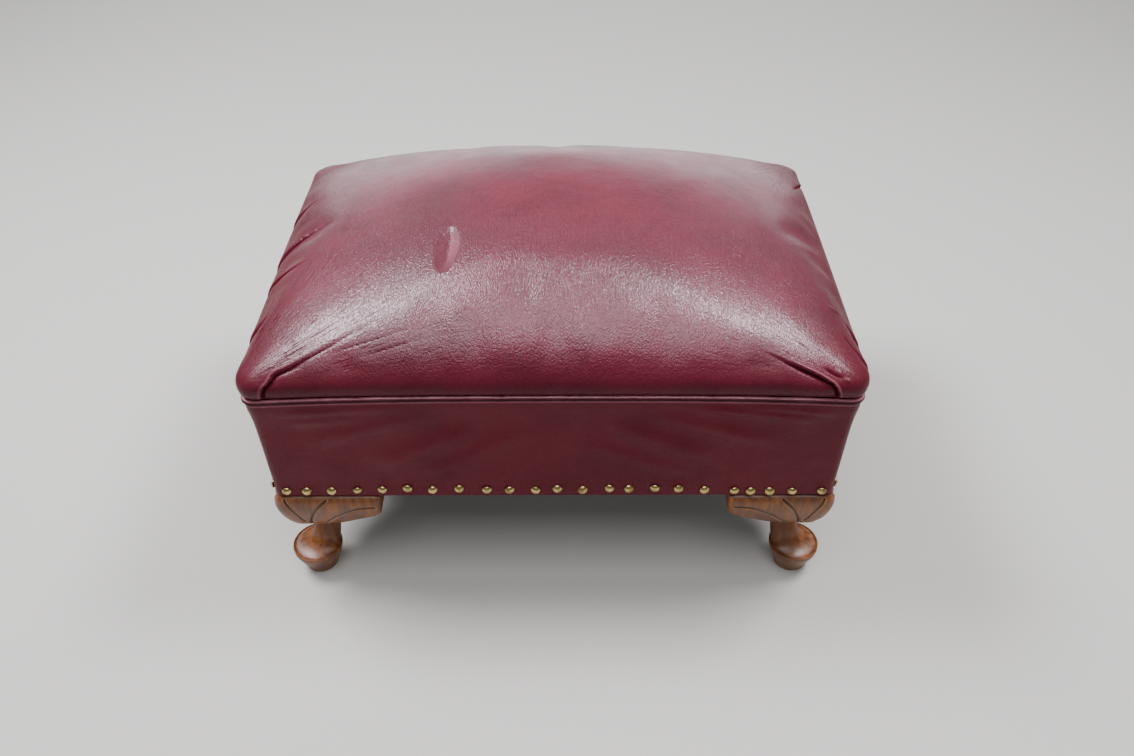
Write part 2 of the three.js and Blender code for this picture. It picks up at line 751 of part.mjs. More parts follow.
// Heights of the stack on each hanger bolt.
const blockTop = railBottom + CORNER_BLOCK_HEIGHT;
const washerBottom = blockTop + CLEARANCE;
const nutBottom = washerBottom + WASHER_THICKNESS + CLEARANCE;
const boltBottom = LEG_HEIGHT - BOLT_DEPTH_IN_LEG;
const boltTop = nutBottom + NUT_HEIGHT + BOLT_END_ABOVE_NUT;
const boltHoleRadius = BOLT_DIAMETER / 2 + CLEARANCE;

function cornerBlock() {
  const start = BAND_STAND + RAIL_THICKNESS + CLEARANCE;
  const far = start + CORNER_BLOCK_REACH;
  const tip = start + CORNER_BLOCK_TIP;
  const outline = [[start, start], [far, start], [far, tip], [tip, far], [start, far]];
  const points = outline.map(([x, y]) => new THREE.Vector2(x, y));
  const hole = { x: BOLT_INSET, y: BOLT_INSET, radius: boltHoleRadius };
  return plate(points, CORNER_BLOCK_HEIGHT, [hole]);
}

function washer() {
  const outline = circlePath(0, 0, WASHER_DIAMETER / 2).getPoints().reverse();
  return plate(outline, WASHER_THICKNESS, [{ x: 0, y: 0, radius: boltHoleRadius }]);
}

function nut() {
  const cornerRadius = NUT_WIDTH / Math.sqrt(3);
  const outline = Array.from({ length: NUT_SIDES }, (_, corner) => {
    const angle = 2 * Math.PI * corner / NUT_SIDES;
    return new THREE.Vector2(cornerRadius * Math.cos(angle), cornerRadius * Math.sin(angle));
  });
  return plate(outline, NUT_HEIGHT, [{ x: 0, y: 0, radius: boltHoleRadius }]);
}

// The four corners, each a group turned so that its x and y run inwards from the band's faces.
const CORNERS = [
  { name: 'front_left', x: -1, y: -1, turn: 0 },
  { name: 'front_right', x: 1, y: -1, turn: Math.PI / 2 },
  { name: 'back_right', x: 1, y: 1, turn: Math.PI },
  { name: 'back_left', x: -1, y: 1, turn: -Math.PI / 2 },
];

function addCorners() {
  const legShape = leg();
  for (const { name, x, y, turn } of CORNERS) {
    const corner = new THREE.Group();
    corner.position.set(x * bandHalfWidth, y * bandHalfDepth, 0);
    corner.rotation.z = turn;
    model.add(corner);
    addPiece(`leg_${name}`, legShape, showWood, corner);
    addPiece(`corner_block_${name}`, cornerBlock(), frameWood, corner).position.z = railBottom;
    const fasteners = [
      [`hanger_bolt_${name}`, rod(BOLT_DIAMETER / 2, boltTop - boltBottom), boltBottom],
      [`washer_${name}`, washer(), washerBottom],
      [`nut_${name}`, nut(), nutBottom],
    ];
    for (const [pieceName, shape, height] of fasteners) {
      addPiece(pieceName, shape, steel, corner).position.set(BOLT_INSET, BOLT_INSET, height);
    }
  }
}

// A strip of webbing along X that passes over and under the strips it crosses.
function webbingStrip(halfRun, crossings, firstSign) {
  const flatHalf = WEB_WIDTH / 2 + WEB_THICKNESS;
  const stations = [{ at: -halfRun - WEB_OVERLAP, sign: 0 }, { at: -halfRun, sign: 0 }];
  crossings.forEach((at, order) => {
    const sign = firstSign * (order % 2 ? -1 : 1);
    stations.push({ at: at - flatHalf, sign }, { at: at + flatHalf, sign });
  });
  stations.push({ at: halfRun, sign: 0 }, { at: halfRun + WEB_OVERLAP, sign: 0 });
  const rings = stations.map(({ at, sign }) => {
    const middle = webMiddle + sign * weaveRise;
    const low = middle - WEB_THICKNESS / 2;
    const high = middle + WEB_THICKNESS / 2;
    const side = WEB_WIDTH / 2;
    return [[side, low], [side, high], [-side, high], [-side, low]].map(
      ([y, z]) => new THREE.Vector3(at, y, z),
    );
  });
  return loft(rings, fanCap(rings[0].length));
}

function addWebbing() {
  const halfAcross = halfWidth - RAIL_THICKNESS - CLEARANCE;
  const halfDeep = halfDepth - RAIL_THICKNESS - CLEARANCE;
  ['front', 'back'].forEach((name, order) => {
    const strip = webbingStrip(halfAcross, acrossPlaces, order ? -1 : 1);
    addPiece(`webbing_across_${name}`, strip, jute).position.y = deepPlaces[order];
  });
  ['left', 'middle', 'right'].forEach((name, order) => {
    const strip = webbingStrip(halfDeep, deepPlaces, order % 2 ? 1 : -1);
    const piece = addPiece(`webbing_deep_${name}`, strip, jute);
    piece.rotation.z = Math.PI / 2;
    piece.position.x = acrossPlaces[order];
  });
}

// The wire's middle line of an hourglass spring: a helix, closer wound and wider at both ends.
const springRise = plateauHeight - CLEARANCE - SPRING_WIRE - springSeat;
const END_TURN_SHARE = 0.94;

function springPoint(share) {
  const angle = 2 * Math.PI * SPRING_TURNS * share;
  const endRadius = share < 0.5 ? SPRING_BOTTOM_RADIUS : SPRING_TOP_RADIUS;
  const fromWaist = Math.abs(1 - 2 * share) ** 2;
  const radius = SPRING_WAIST_RADIUS + (endRadius - SPRING_WAIST_RADIUS) * fromWaist;
  const eased = share - END_TURN_SHARE * Math.sin(2 * Math.PI * share) / (2 * Math.PI);
  const height = springSeat + SPRING_WIRE / 2 + springRise * eased;
  return new THREE.Vector3(radius * Math.cos(angle), radius * Math.sin(angle), height);
}

// One unbroken wire round that line, as rings square to it.
function springWire() {
  const steps = Math.round(SPRING_TURNS * SPRING_STEPS_PER_TURN);
  const rings = Array.from({ length: steps + 1 }, (_, step) => {
    const share = step / steps;
    const at = springPoint(share);
    const nudge = 1 / (steps * SPRING_STEPS_PER_TURN);
    const along = springPoint(share + nudge).sub(springPoint(share - nudge)).normalize();
    const outwards = new THREE.Vector3(at.x, at.y, 0).normalize();
    const upwards = new THREE.Vector3().crossVectors(along, outwards).normalize();
    const sideways = new THREE.Vector3().crossVectors(upwards, along);
    return Array.from({ length: WIRE_SIDES }, (_unused, side) => {
      const angle = 2 * Math.PI * side / WIRE_SIDES;
      const point = at.clone();
      point.addScaledVector(sideways, SPRING_WIRE / 2 * Math.cos(angle));
      return point.addScaledVector(upwards, SPRING_WIRE / 2 * Math.sin(angle));
    });
  });
  return loft(rings, fanCap(WIRE_SIDES));
}

// The least gap between turns of the wire, measured on points more than half a turn apart.
function springGap() {
  const perTurn = SPRING_STEPS_PER_TURN * SPRING_STEPS_PER_TURN;
  const count = Math.round(SPRING_TURNS * perTurn);
  const points = Array.from({ length: count + 1 }, (_, step) => springPoint(step / count));
  let least = Infinity;
  points.forEach((point, first) => {
    for (let second = first + perTurn / 2; second <= count; second += 1) {
      least = Math.min(least, point.distanceTo(points[second]));
    }
  });
  return least - SPRING_WIRE;
}

function addSprings() {
  const wire = springWire();
  console.log(`Least gap between a spring's turns: ${springGap().toFixed(2)} mm`);
  ['front', 'back'].forEach((rowName, row) => {
    ['left', 'middle', 'right'].forEach((placeName, place) => {
      const spring = addPiece(`spring_${rowName}_${placeName}`, wire, steel);
      spring.position.set(acrossPlaces[place], deepPlaces[row], 0);
    });
  });
}

// Dust cover: a sheet under the frame, with a hole for each hanger bolt.
function dustCover() {
  const inset = DUST_COVER_INSET;
  const radius = FRAME_CORNER_RADIUS;
  const ring = roundedRing(halfWidth - inset, halfDepth - inset, radius, { across: 1, deep: 1 });
  const holes = CORNERS.map(({ x, y }) => ({
    x: x * (bandHalfWidth - BOLT_INSET),
    y: y * (bandHalfDepth - BOLT_INSET),
    radius: boltHoleRadius,
  }));
  return plate(ring, DUST_COVER_THICKNESS, holes);
}

function addUpholstery() {
  addPiece('burlap', burlap(), jute);
  addPiece('stuffing_pad', stuffingPad(), hair);
  addPiece('cotton_wadding', cottonWadding(), cotton);
  addPiece('seat_cover', seatCover(), leather);
  addPiece('welt_cord', weltCord(), cotton);
  addPiece('welt_cover', weltCover(), leather);
  addPiece('tacking_strip', tackingStrip(), card);
  addPiece('border_wadding', borderWadding(), cotton);
  addPiece('border_band', join(borderBand(), nailHeads()), leather);
  addPiece('dust_cover', dustCover(), cambric).position.z = dustCoverBottom;
}

addFrame();
addCorners();
addWebbing();
addSprings();
addUpholstery();

export default model;
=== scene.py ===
# %% [markdown]
# # An upholstered footstool, dressed round its frame
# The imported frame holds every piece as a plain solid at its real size. This lesson dresses it with
# leather, piping, nails, carved wood and the soft layers inside. Every shape is a formula worked
# out on whole arrays of points, in millimetres, and turned to metres when it goes into a mesh.

import json
import math

import bpy
import mathutils
import numpy as np
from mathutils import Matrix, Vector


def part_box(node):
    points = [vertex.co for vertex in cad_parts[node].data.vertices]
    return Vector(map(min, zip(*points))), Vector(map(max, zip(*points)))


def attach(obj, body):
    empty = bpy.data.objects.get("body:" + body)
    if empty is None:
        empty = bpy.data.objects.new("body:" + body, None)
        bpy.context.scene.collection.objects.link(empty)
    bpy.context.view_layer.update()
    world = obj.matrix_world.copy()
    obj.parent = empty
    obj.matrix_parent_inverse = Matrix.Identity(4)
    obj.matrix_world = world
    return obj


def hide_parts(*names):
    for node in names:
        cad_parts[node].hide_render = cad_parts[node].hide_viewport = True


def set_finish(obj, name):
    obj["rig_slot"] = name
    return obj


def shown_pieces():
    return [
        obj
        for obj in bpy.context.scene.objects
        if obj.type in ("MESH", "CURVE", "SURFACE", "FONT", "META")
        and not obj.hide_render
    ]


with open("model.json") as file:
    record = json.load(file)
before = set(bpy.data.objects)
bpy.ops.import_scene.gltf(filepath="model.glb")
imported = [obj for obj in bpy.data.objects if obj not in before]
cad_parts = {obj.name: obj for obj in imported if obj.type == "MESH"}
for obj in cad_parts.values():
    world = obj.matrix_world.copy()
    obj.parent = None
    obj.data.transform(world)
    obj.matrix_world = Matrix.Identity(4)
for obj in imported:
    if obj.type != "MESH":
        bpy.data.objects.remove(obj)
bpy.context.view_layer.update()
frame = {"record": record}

# %% [markdown]
# ## A mesh from arrays
# A piece could be pushed and pulled by hand, but then nobody could change its size later. Here a
# piece is a grid of points, and the same few lines turn any grid into quads.

# %% Grids and pieces
MM = 0.001


def grid_faces(rows, columns, wrap_rows=False, wrap_columns=False):
    """Quads of a grid: each joins a point, its next column, and both of these on the next row."""
    low, left = np.meshgrid(
        np.arange(rows if wrap_rows else rows - 1),
        np.arange(columns if wrap_columns else columns - 1),
        indexing="ij",
    )
    high, right = (low + 1) % rows, (left + 1) % columns
    low, high = low * columns, high * columns
    return np.stack([low + left, low + right, high + right, high + left], -1).reshape(-1, 4)


def signed_volume(points, faces):
    """A sixth of the sum, over fans of each face, of corner dot (corner cross corner)."""
    corners = points[faces]
    fans = [np.cross(corners[:, n], corners[:, n + 1]) for n in range(1, faces.shape[1] - 1)]
    return sum((corners[:, 0] * fan).sum() for fan in fans) / 6


def make_piece(name, points, face_groups, slot, replaced=(), flat=False):
    """One mesh from points in mm and groups of faces, turned so that the volume inside is positive."""
    points = points.reshape(-1, 3)
    groups = face_groups if isinstance(face_groups, list) else [face_groups]
    turned = sum(signed_volume(points, group) for group in groups) < 0
    faces = [face for group in groups for face in (group[:, ::-1] if turned else group).tolist()]
    mesh = bpy.data.meshes.new(name)
    mesh.from_pydata((points * MM).tolist(), [], faces)
    mesh.update()
    if not flat:
        mesh.shade_smooth()
    piece = bpy.data.objects.new(name, mesh)
    bpy.context.scene.collection.objects.link(piece)
    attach(piece, "root")
    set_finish(piece, slot)
    if replaced:
        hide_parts(*replaced)
    print(f"{name}: {len(points)} points, {len(faces)} faces")
    return piece


def grid_piece(name, grid, slot, replaced, closed=False):
    """A piece that is one grid of points. A closed grid joins up both ways round."""
    return make_piece(name, grid, grid_faces(*grid.shape[:2], closed, closed), slot, replaced)


def tube_faces(rows, columns):
    """Quads round a tube whose rings are the rows, and one face to close each end."""
    first = np.arange(columns)
    return [grid_faces(rows, columns, False, True), first[None, ::-1], (first + (rows - 1) * columns)[None]]


def thicken(piece, thickness, offset=-1):
    """Gives an open surface its wall: inwards from the face that shows at -1, outwards at 1."""
    wall = piece.modifiers.new("wall", "SOLIDIFY")
    wall.thickness = thickness * MM
    wall.offset = offset


# %% [markdown]
# ## Two soft curves
# Leather and wood have no hard steps. Where a fold stands up along a line and fades out at its ends,
# it follows two curves: a bell across the line, and a step that starts and ends level along it.

# %% Step, bell and unit length
TINY = 1e-9  # keeps a division off zero


def soft_step(value):
    """0 up to 0, 1 from 1 on, and v squared times (3 - 2 v) between."""
    value = np.clip(value, 0, 1)
    return value * value * (3 - 2 * value)


def bell(distance, width):
    """e to minus (distance over width) squared: 1 on the line and almost gone at twice the width."""
    return np.exp(-((distance / width) ** 2))


def unit(vectors):
    """Each arrow over its own length."""
    return vectors / np.maximum(np.linalg.norm(vectors, axis=-1, keepdims=True), TINY)


print("at a quarter, half and all:", soft_step(np.array([0.25, 0.5, 1])), bell(np.array([0.25, 0.5, 1]), 1))

# %% [markdown]
# ## The outline that everything follows
# Seat, piping, band and hidden layers all run round the same rounded rectangle. One function
# gives its points by side and by share of that side, and so rings of any size match point for
# point. A side runs from the middle of one rounded corner to the middle of the next.

# %% Rounded outline
FRAME_HALF, FRAME_CORNER = np.array([288.0, 196.5]), 6.0
RAIL_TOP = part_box("front_rail")[1].z / MM
RAIL_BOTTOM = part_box("front_rail")[0].z / MM
SEAT_LINE, CORNER_DIP = RAIL_TOP - 7.15, 6.0
ALONG = np.array([[1, 0], [0, 1], [-1, 0], [0, -1]])
OUTWARDS = np.array([[0, -1], [1, 0], [0, 1], [-1, 0]])


def rounded_outline(half_x, half_y, radius, side, share):
    """Plan points and outward directions of a rounded rectangle.

    Along a side, the distance from its middle is laid off on the straight part first. What is left
    over turns round the corner: the turn is the distance left over the radius.
    """
    even = side % 2 == 0
    straight = np.where(even, half_x, half_y) - radius
    stand = np.where(even, half_y, half_x)
    distance = (2 * share - 1) * (straight + radius * np.pi / 4)
    turn = np.clip((np.abs(distance) - straight) / np.maximum(radius, TINY), 0, np.pi / 4)
    reach = np.sign(distance) * (np.minimum(np.abs(distance), straight) + radius * np.sin(turn))
    depth = stand - radius + radius * np.cos(turn)
    along, outwards = ALONG[side], OUTWARDS[side]
    plan = reach[..., None] * along + depth[..., None] * outwards
    facing = (np.sign(distance) * np.sin(turn))[..., None] * along + np.cos(turn)[..., None] * outwards
    return plan, facing


print("rails from", round(RAIL_BOTTOM, 1), "to", round(RAIL_TOP, 1), "seat line at", round(SEAT_LINE, 2))


# %% The seat line and rings round it
def dip(x, y):
    """The seat line dips towards the corners: 6 mm times the cube of the product of both shares."""
    return CORNER_DIP * np.minimum(np.abs(x / FRAME_HALF[0]) * np.abs(y / FRAME_HALF[1]), 1) ** 3


def over_seat_line(points):
    """Height over the dipping seat line."""
    return points[..., 2] + dip(points[..., 0], points[..., 1]) - SEAT_LINE


def ring(spacing):
    """Side and share of the points of a ring, about as far apart as the spacing."""
    counts = [int(2 * half / spacing) for half in (*FRAME_HALF, *FRAME_HALF)]
    side = np.repeat(np.arange(4), counts)
    share = np.concatenate([np.arange(count) / count for count in counts])
    return side, share


# %% [markdown]
# ## The seat's shape
# The leather leaves the seat line, swells out over the rail, turns in and domes to the middle. Its
# section is a row of stations. The plan is a grid in which each ring of the grid is one station,
# and so the sheet folds down at the corners as the real leather does.

# %% Seat section
SWELL, SIDE_RISE, RIM_RISE, RIM_INSET, CROWN = 10.0, 13.7, 15.0, 112.0, 65.2
CROWN_POWERS = (2.1, 3.2)  # from side to side, and from front to back
COVER_OUT, MARGIN, MARGIN_POINTS = 1.3, 12.0, 60  # the margin is what is tacked down under the seat line
RIM_CORNER, RIDGE_CORNER, CORNER_FROM, CORNER_GAIN = 24.0, 34.0, 12.0, 0.5
BACK_SETTLE, BACK_REACH = 0.42, 58.0  # the back corners have sunk by this share, over this reach
SEAT_HALF = FRAME_HALF + SWELL
DENSE = 1500  # points on a stretch of the section, before they are evenly spaced
ROLL, ROLL_OUT, ROLL_STEP = 5.5, 1.2, 0.25  # how softly the side rolls over into the rim
ROLL_IN, ROLL_AWAY = 10.0, 40.0  # the lengths over which the roll comes in and goes away


def crown(x, y):
    """The filling's height: 65.2 mm times (1 - |x| share to the 2.1) times (1 - |y| share to the 3.2)."""
    across = 1 - np.minimum(np.abs(x) / SEAT_HALF[0], 1) ** CROWN_POWERS[0]
    deep = 1 - np.minimum(np.abs(y) / SEAT_HALF[1], 1) ** CROWN_POWERS[1]
    return CROWN * across * deep


def seat_stations(steps):
    """Stations from the tacked margin to the ridge, evenly spaced along the leather.

    Columns: out from the rails, up from the seat line, corner radius, share of the dip, and whether
    the crown counts. The side is a quarter ellipse outwards, the rim a quarter ellipse inwards.
    """
    edge = np.linspace(-MARGIN, 0, MARGIN_POINTS)[:-1]
    turn = np.linspace(0, 1, DENSE)[:-1]
    inset = SEAT_HALF[1] * np.linspace(0, 1, DENSE) ** 2
    outer = 1 - np.minimum(inset / RIM_INSET, 1)
    side_angle = turn * np.pi / 2
    out = np.concatenate([
        np.full_like(edge, COVER_OUT),
        COVER_OUT + (SWELL - COVER_OUT) * np.sin(side_angle),
        SWELL - inset,
    ])
    up = np.concatenate([
        edge,
        SIDE_RISE * (1 - np.cos(side_angle)),
        SIDE_RISE + RIM_RISE * np.sqrt(1 - outer**2),
    ])
    tight = FRAME_CORNER + COVER_OUT
    wide = RIM_CORNER + RIDGE_CORNER * (1 - np.exp(-inset / RIM_INSET))
    radius = np.concatenate([
        np.full_like(edge, tight),
        tight + (RIM_CORNER - tight) * turn,
        wide + CORNER_GAIN * np.maximum(inset - CORNER_FROM, 0),
    ])
    dips = np.concatenate([np.ones_like(edge), 1 - turn**2, np.zeros_like(inset)])
    crowned = np.concatenate([np.zeros(len(edge) + len(turn)), np.ones_like(inset)])
    height = up + crowned * crown(0, FRAME_HALF[1] + out)
    path = np.concatenate([[0], np.cumsum(np.hypot(np.diff(out), np.diff(height)))])
    wanted = np.linspace(0, path[-1], steps + 1)
    table = np.stack([out, up, radius, dips, crowned], -1)
    fine = np.arange(0, path[-1], ROLL_STEP)
    sharp = np.stack([np.interp(fine, path, column) for column in table.T], -1)
    reach = int(3 * ROLL / ROLL_STEP)
    weight = np.exp(-((np.arange(-reach, reach + 1) * ROLL_STEP / ROLL) ** 2) / 2)
    held = np.pad(sharp, ((reach, reach), (0, 0)), mode="edge")
    soft = np.stack([np.convolve(column, weight / weight.sum(), "valid") for column in held.T], -1)
    eased = np.clip((fine - MARGIN - 1) / ROLL_IN, 0, 1) * np.clip((path[-1] - fine) / ROLL_AWAY, 0, 1)
    eased = eased[:, None]
    rolled = sharp + (soft - sharp) * eased + [ROLL_OUT, 0, 0, 0, 0] * eased
    return np.stack([np.interp(wanted, fine, column) for column in rolled.T], -1)


print("out and up at every tenth of the section:", seat_stations(10)[:, :2].round(1).tolist())


# %% Rings of a grid
def ring_grid(steps, ridge):
    """A grid as a nest of rings, where a point's ring is its least distance to the grid's edge.
    For each point: the side it lies on, its ring, and its share of that side of the ring."""
    across, deep = 2 * steps + ridge, 2 * steps
    i, j = np.meshgrid(np.arange(across + 1), np.arange(deep + 1), indexing="ij")
    edges = np.stack([j, across - i, deep - j, i])
    side, level = edges.argmin(0), edges.min(0)
    run = np.where(side % 2 == 0, across, deep) - 2 * level
    share = (np.choose(side, [i, j, across - i, deep - j]) - level) / np.maximum(run, 1)
    return side, level, share


def seat_grid(steps, ridge):
    """The seat as a grid, one station to a ring, and the ring of each of its points."""
    side, level, share = ring_grid(steps, ridge)
    out, up, radius, dips, crowned = np.moveaxis(seat_stations(steps)[level], -1, 0)
    half_x, half_y = FRAME_HALF[0] + out, FRAME_HALF[1] + out
    plan, _ = rounded_outline(half_x, half_y, np.minimum(radius, half_y), side, share)
    x, y = plan[..., 0], plan[..., 1]
    to_corner = np.hypot(SEAT_HALF[0] - np.abs(x), SEAT_HALF[1] - y)
    settled = 1 - BACK_SETTLE * np.exp(-((to_corner / BACK_REACH) ** 2))
    z = SEAT_LINE + (up + crowned * crown(x, y)) * settled - dips * dip(x, y)
    return np.stack([x, y, z], -1), level


# %% [markdown]
# ## Easing the dome
# The rings turn sharply where two sides meet, and there the sheet would show a faint edge, as a
# hipped roof does. Averaging each point with its neighbours takes the edge away. A coarse grid needs
# far fewer passes, so most of the easing is found on every third point and spread to the rest. It
# grows from ring to ring inwards, which leaves the rim and the corners their shape.

# %% Eased seat
def outward_normals(points):
    """The cross product of the steps along both ways of the grid, made one long."""
    return unit(np.cross(np.gradient(points, axis=0), np.gradient(points, axis=1)))


def smoothed(field, passes):
    """Each pass averages a point with its neighbours along both ways of the grid."""
    for _ in range(passes):
        for axis in (0, 1):
            before = np.roll(field, 1, axis)
            after = np.roll(field, -1, axis)
            middle = (before + 2 * field + after) / 4
            keep = [slice(None)] * field.ndim
            keep[axis] = slice(1, -1)
            field = field.copy()
            field[tuple(keep)] = middle[tuple(keep)]
    return field


def spread(field, times):
    """A field on a coarse grid carried to a finer one: new points lie evenly between the old ones."""
    for axis in (0, 1):
        field = np.moveaxis(field, axis, 0)
        at = np.arange((len(field) - 1) * times + 1) / times
        low = np.minimum(at.astype(int), len(field) - 2)
        share = (at - low)[:, None, None]
        field = np.moveaxis(field[low] * (1 - share) + field[low + 1] * share, 0, axis)
    return field


STEPS, RIDGE, REFINE = 52, 36, 3
EASINGS = ((6, 5), (26, 10), (60, 18))  # passes on the coarse grid, and the ring from which they count
EASING_RINGS, LAST_PASSES, LAST_FROM, LAST_RINGS = 12, 30, 4, 8
seat_rest, seat_level = seat_grid(STEPS * REFINE, RIDGE * REFINE)
coarse = (slice(None, None, REFINE),) * 2
for passes, start in EASINGS:
    inner = soft_step((seat_level / REFINE - start) / EASING_RINGS)[..., None]
    seat_rest += inner * spread(smoothed(seat_rest[coarse], passes) - seat_rest[coarse], REFINE)
inner = np.clip((seat_level / REFINE - LAST_FROM) / LAST_RINGS, 0, 1)[..., None]
seat_rest += inner * (smoothed(seat_rest, LAST_PASSES) - seat_rest)
print("seat grid", seat_rest.shape, "top", round(seat_rest[..., 2].max(), 1))

# %% [markdown]
# ## Puffing the leather
# The leather is stretched over a filling and tacked down along the seat line. A cloth simulation
# under pressure shows where such a cover pulls and puckers. It runs on every third point of the
# grid. The crown itself is already measured, so only the puckers are kept: what the cloth moved,
# less the same movement smoothed, and never more than a few millimetres.

# %% Cloth simulation
FRAMES, TACKED_RINGS, PUCKER_LIMIT, PUCKER_GAIN = 20, 3, 2.2, 0.6
BROAD, NARROW, SPREAD = 60, 4, 2  # passes: beyond the first it is the crown, below the second it is noise


def edge_ring(across, deep):
    """Point numbers round the edge of a grid, in order."""
    number = np.arange((across + 1) * (deep + 1)).reshape(across + 1, deep + 1)
    return np.concatenate([number[:-1, 0], number[-1, :-1], number[:0:-1, -1], number[0, :0:-1]])


def puckers(points, level):
    """How a tacked cover moves under pressure, as one movement for each point of the grid."""
    across, deep = points.shape[0] - 1, points.shape[1] - 1
    rim = edge_ring(across, deep)
    flat = points.reshape(-1, 3)
    bottom = flat[rim].mean(0)
    fan = np.stack([rim, np.roll(rim, 1), np.full_like(rim, len(flat))], -1)
    faces = [grid_faces(across + 1, deep + 1), fan]
    cover = make_piece("cover_trial", np.vstack([flat, bottom]), faces, "leather")
    tacked = cover.vertex_groups.new(name="tacked")
    tacked.add([*np.flatnonzero(level.ravel() <= TACKED_RINGS).tolist(), len(flat)], 1.0, "REPLACE")
    cloth = cover.modifiers.new("cloth", "CLOTH")
    settings = cloth.settings
    settings.vertex_group_mass = tacked.name
    settings.quality = 4
    settings.mass = 0.3
    settings.tension_stiffness = settings.compression_stiffness = 25
    settings.shear_stiffness = 8
    settings.bending_stiffness = 1.5
    settings.use_pressure = True
    settings.uniform_pressure_force = 4
    settings.shrink_min = -0.03
    settings.effector_weights.gravity = 0
    cloth.point_cache.frame_start, cloth.point_cache.frame_end = 1, FRAMES
    for frame_number in range(1, FRAMES + 1):
        bpy.context.scene.frame_set(frame_number)
    posed = cover.evaluated_get(bpy.context.evaluated_depsgraph_get())
    moved = np.empty(len(posed.data.vertices) * 3)
    posed.data.vertices.foreach_get("co", moved)
    movement = moved.reshape(-1, 3)[:-1] / MM - flat
    bpy.context.scene.frame_set(1)
    bpy.data.objects.remove(cover)
    return movement.reshape(points.shape)


pucker = np.zeros_like(seat_rest)
trial_rest, trial_level = seat_grid(STEPS, RIDGE)
movement = puckers(trial_rest, trial_level)
local = smoothed(movement - smoothed(movement, BROAD), NARROW) * PUCKER_GAIN
size = np.linalg.norm(local, axis=-1, keepdims=True)
local *= np.minimum(1, PUCKER_LIMIT / np.maximum(size, TINY))
pucker = smoothed(spread(local, REFINE), SPREAD)
print("cloth moved at most", round(np.linalg.norm(movement, axis=-1).max(), 1), "mm")
print("puckers kept, at most", round(np.linalg.norm(pucker, axis=-1).max(), 2), "mm")

# %% [markdown]
# ## Folds, tucks and the dent
# At each corner the spare leather is tucked to both sides, and tension lines run from there over
# the seat. A line is a few points on the seat. What it does to the leather depends on how far a
# point is from it: a crease sinks, and a tuck has its upper layer standing over its lower one.

# %% Lines on a surface
def near_line(points, normals, line):
    """For each point: distance to the line, side of it (-1 or 1) and place along it from 0 to 1.

    The nearest place on a stretch from a to b is a + t (b - a), where t is the dot product of
    (p - a) with (b - a) over its square, held between 0 and 1. The side is the sign of
    (p - place) dot (normal cross heading).
    """
    line = np.asarray(line, float)
    lengths = np.linalg.norm(np.diff(line, axis=0), axis=1)
    starts = np.concatenate([[0], np.cumsum(lengths)])
    best = np.full(points.shape[:-1], np.inf)
    side, along = np.ones_like(best), np.zeros_like(best)
    for start, a, b, length in zip(starts, line[:-1], line[1:], lengths):
        heading = (b - a) / length
        t = np.clip((points - a) @ heading, 0, length)
        offset = points - a - t[..., None] * heading
        distance = np.linalg.norm(offset, axis=-1)
        nearer = distance < best
        best = np.where(nearer, distance, best)
        turned = (offset * np.cross(normals, heading)).sum(-1)
        side = np.where(nearer, np.where(turned < 0, -1.0, 1.0), side)
        along = np.where(nearer, (start + t) / starts[-1], along)
    return best, side, along


def curved(line, count=24):
    """A smooth line through a few points: each coordinate is a cubic between its neighbours."""
    line = np.asarray(line, float)
    padded = np.vstack([2 * line[0] - line[1], line, 2 * line[-1] - line[-2]])
    t = np.linspace(0, len(line) - 1 - TINY, count)
    k, f = t.astype(int), (t % 1)[:, None]
    a, b, c, d = (padded[k + n] for n in range(4))
    return 0.5 * (2 * b + (c - a) * f + (2 * a - 5 * b + 4 * c - d) * f**2 + (3 * b - a - 3 * c + d) * f**3)


def near_flat_line(u, v, line, count=24):
    """The same for a line on a flat face, where points and line are given by two distances."""
    flat = np.stack([u, v, np.zeros_like(u)], -1)
    facing = np.broadcast_to([0.0, 0.0, 1.0], flat.shape)
    return near_line(flat, facing, curved([(*point, 0) for point in line], count))


print("points on a curved line:", len(curved([(0, 0, 0), (10, 5, 0), (20, 0, 0)])))


# %% Creases and tucks
def ends_fade(along, start, end):
    """0 at the ends of a line and 1 between: a soft step over each end's share of it."""
    rise = soft_step(along / start) if start else 1
    fall = soft_step((1 - along) / end) if end else 1
    return rise * fall


def crease(points, normals, line, depth, width):
    """A soft groove: minus depth times a bell of the distance."""
    distance, _, along = near_line(points, normals, curved(line))
    return -depth * bell(distance, width) * ends_fade(along, *CREASE_FADES)


def tuck(points, normals, line, stand, sink, reach, start, end, lip_sheen):
    """An overlap, as its movement and its mark.

    On its upper side the leather stands proud and falls off over the reach. On the other side it
    sinks close to the line and comes back over a third of the reach. The mark is a painted shadow
    just under the edge and a painted highlight just above it.
    """
    distance, side, along = near_line(points, normals, curved(line))
    fade = ends_fade(along, start, end)
    above = side * distance
    over = soft_step(0.5 + above / EDGE_WIDTH)
    proud = stand * np.exp(-distance / reach)
    sunk = -sink * np.exp(-distance / (SINK_REACH * reach))
    # painted highlight just above the tuck's edge, painted shadow just under it
    mark = lip_sheen * bell(above - LIP_ABOVE, LIP_WIDTH) - SHADOW * bell(above + SHADOW_BELOW, SHADOW_WIDTH)
    return (over * proud + (1 - over) * sunk) * fade, mark * fade


# %% [markdown]
# ## The seat cover's own lines
# These are the tucks, creases and the pressed hollow of this stool, each traced as points on its
# seat. The two tucks of the front corners are folded sharply, and so they come first and stand
# higher. On the sides the leather is only gathered.

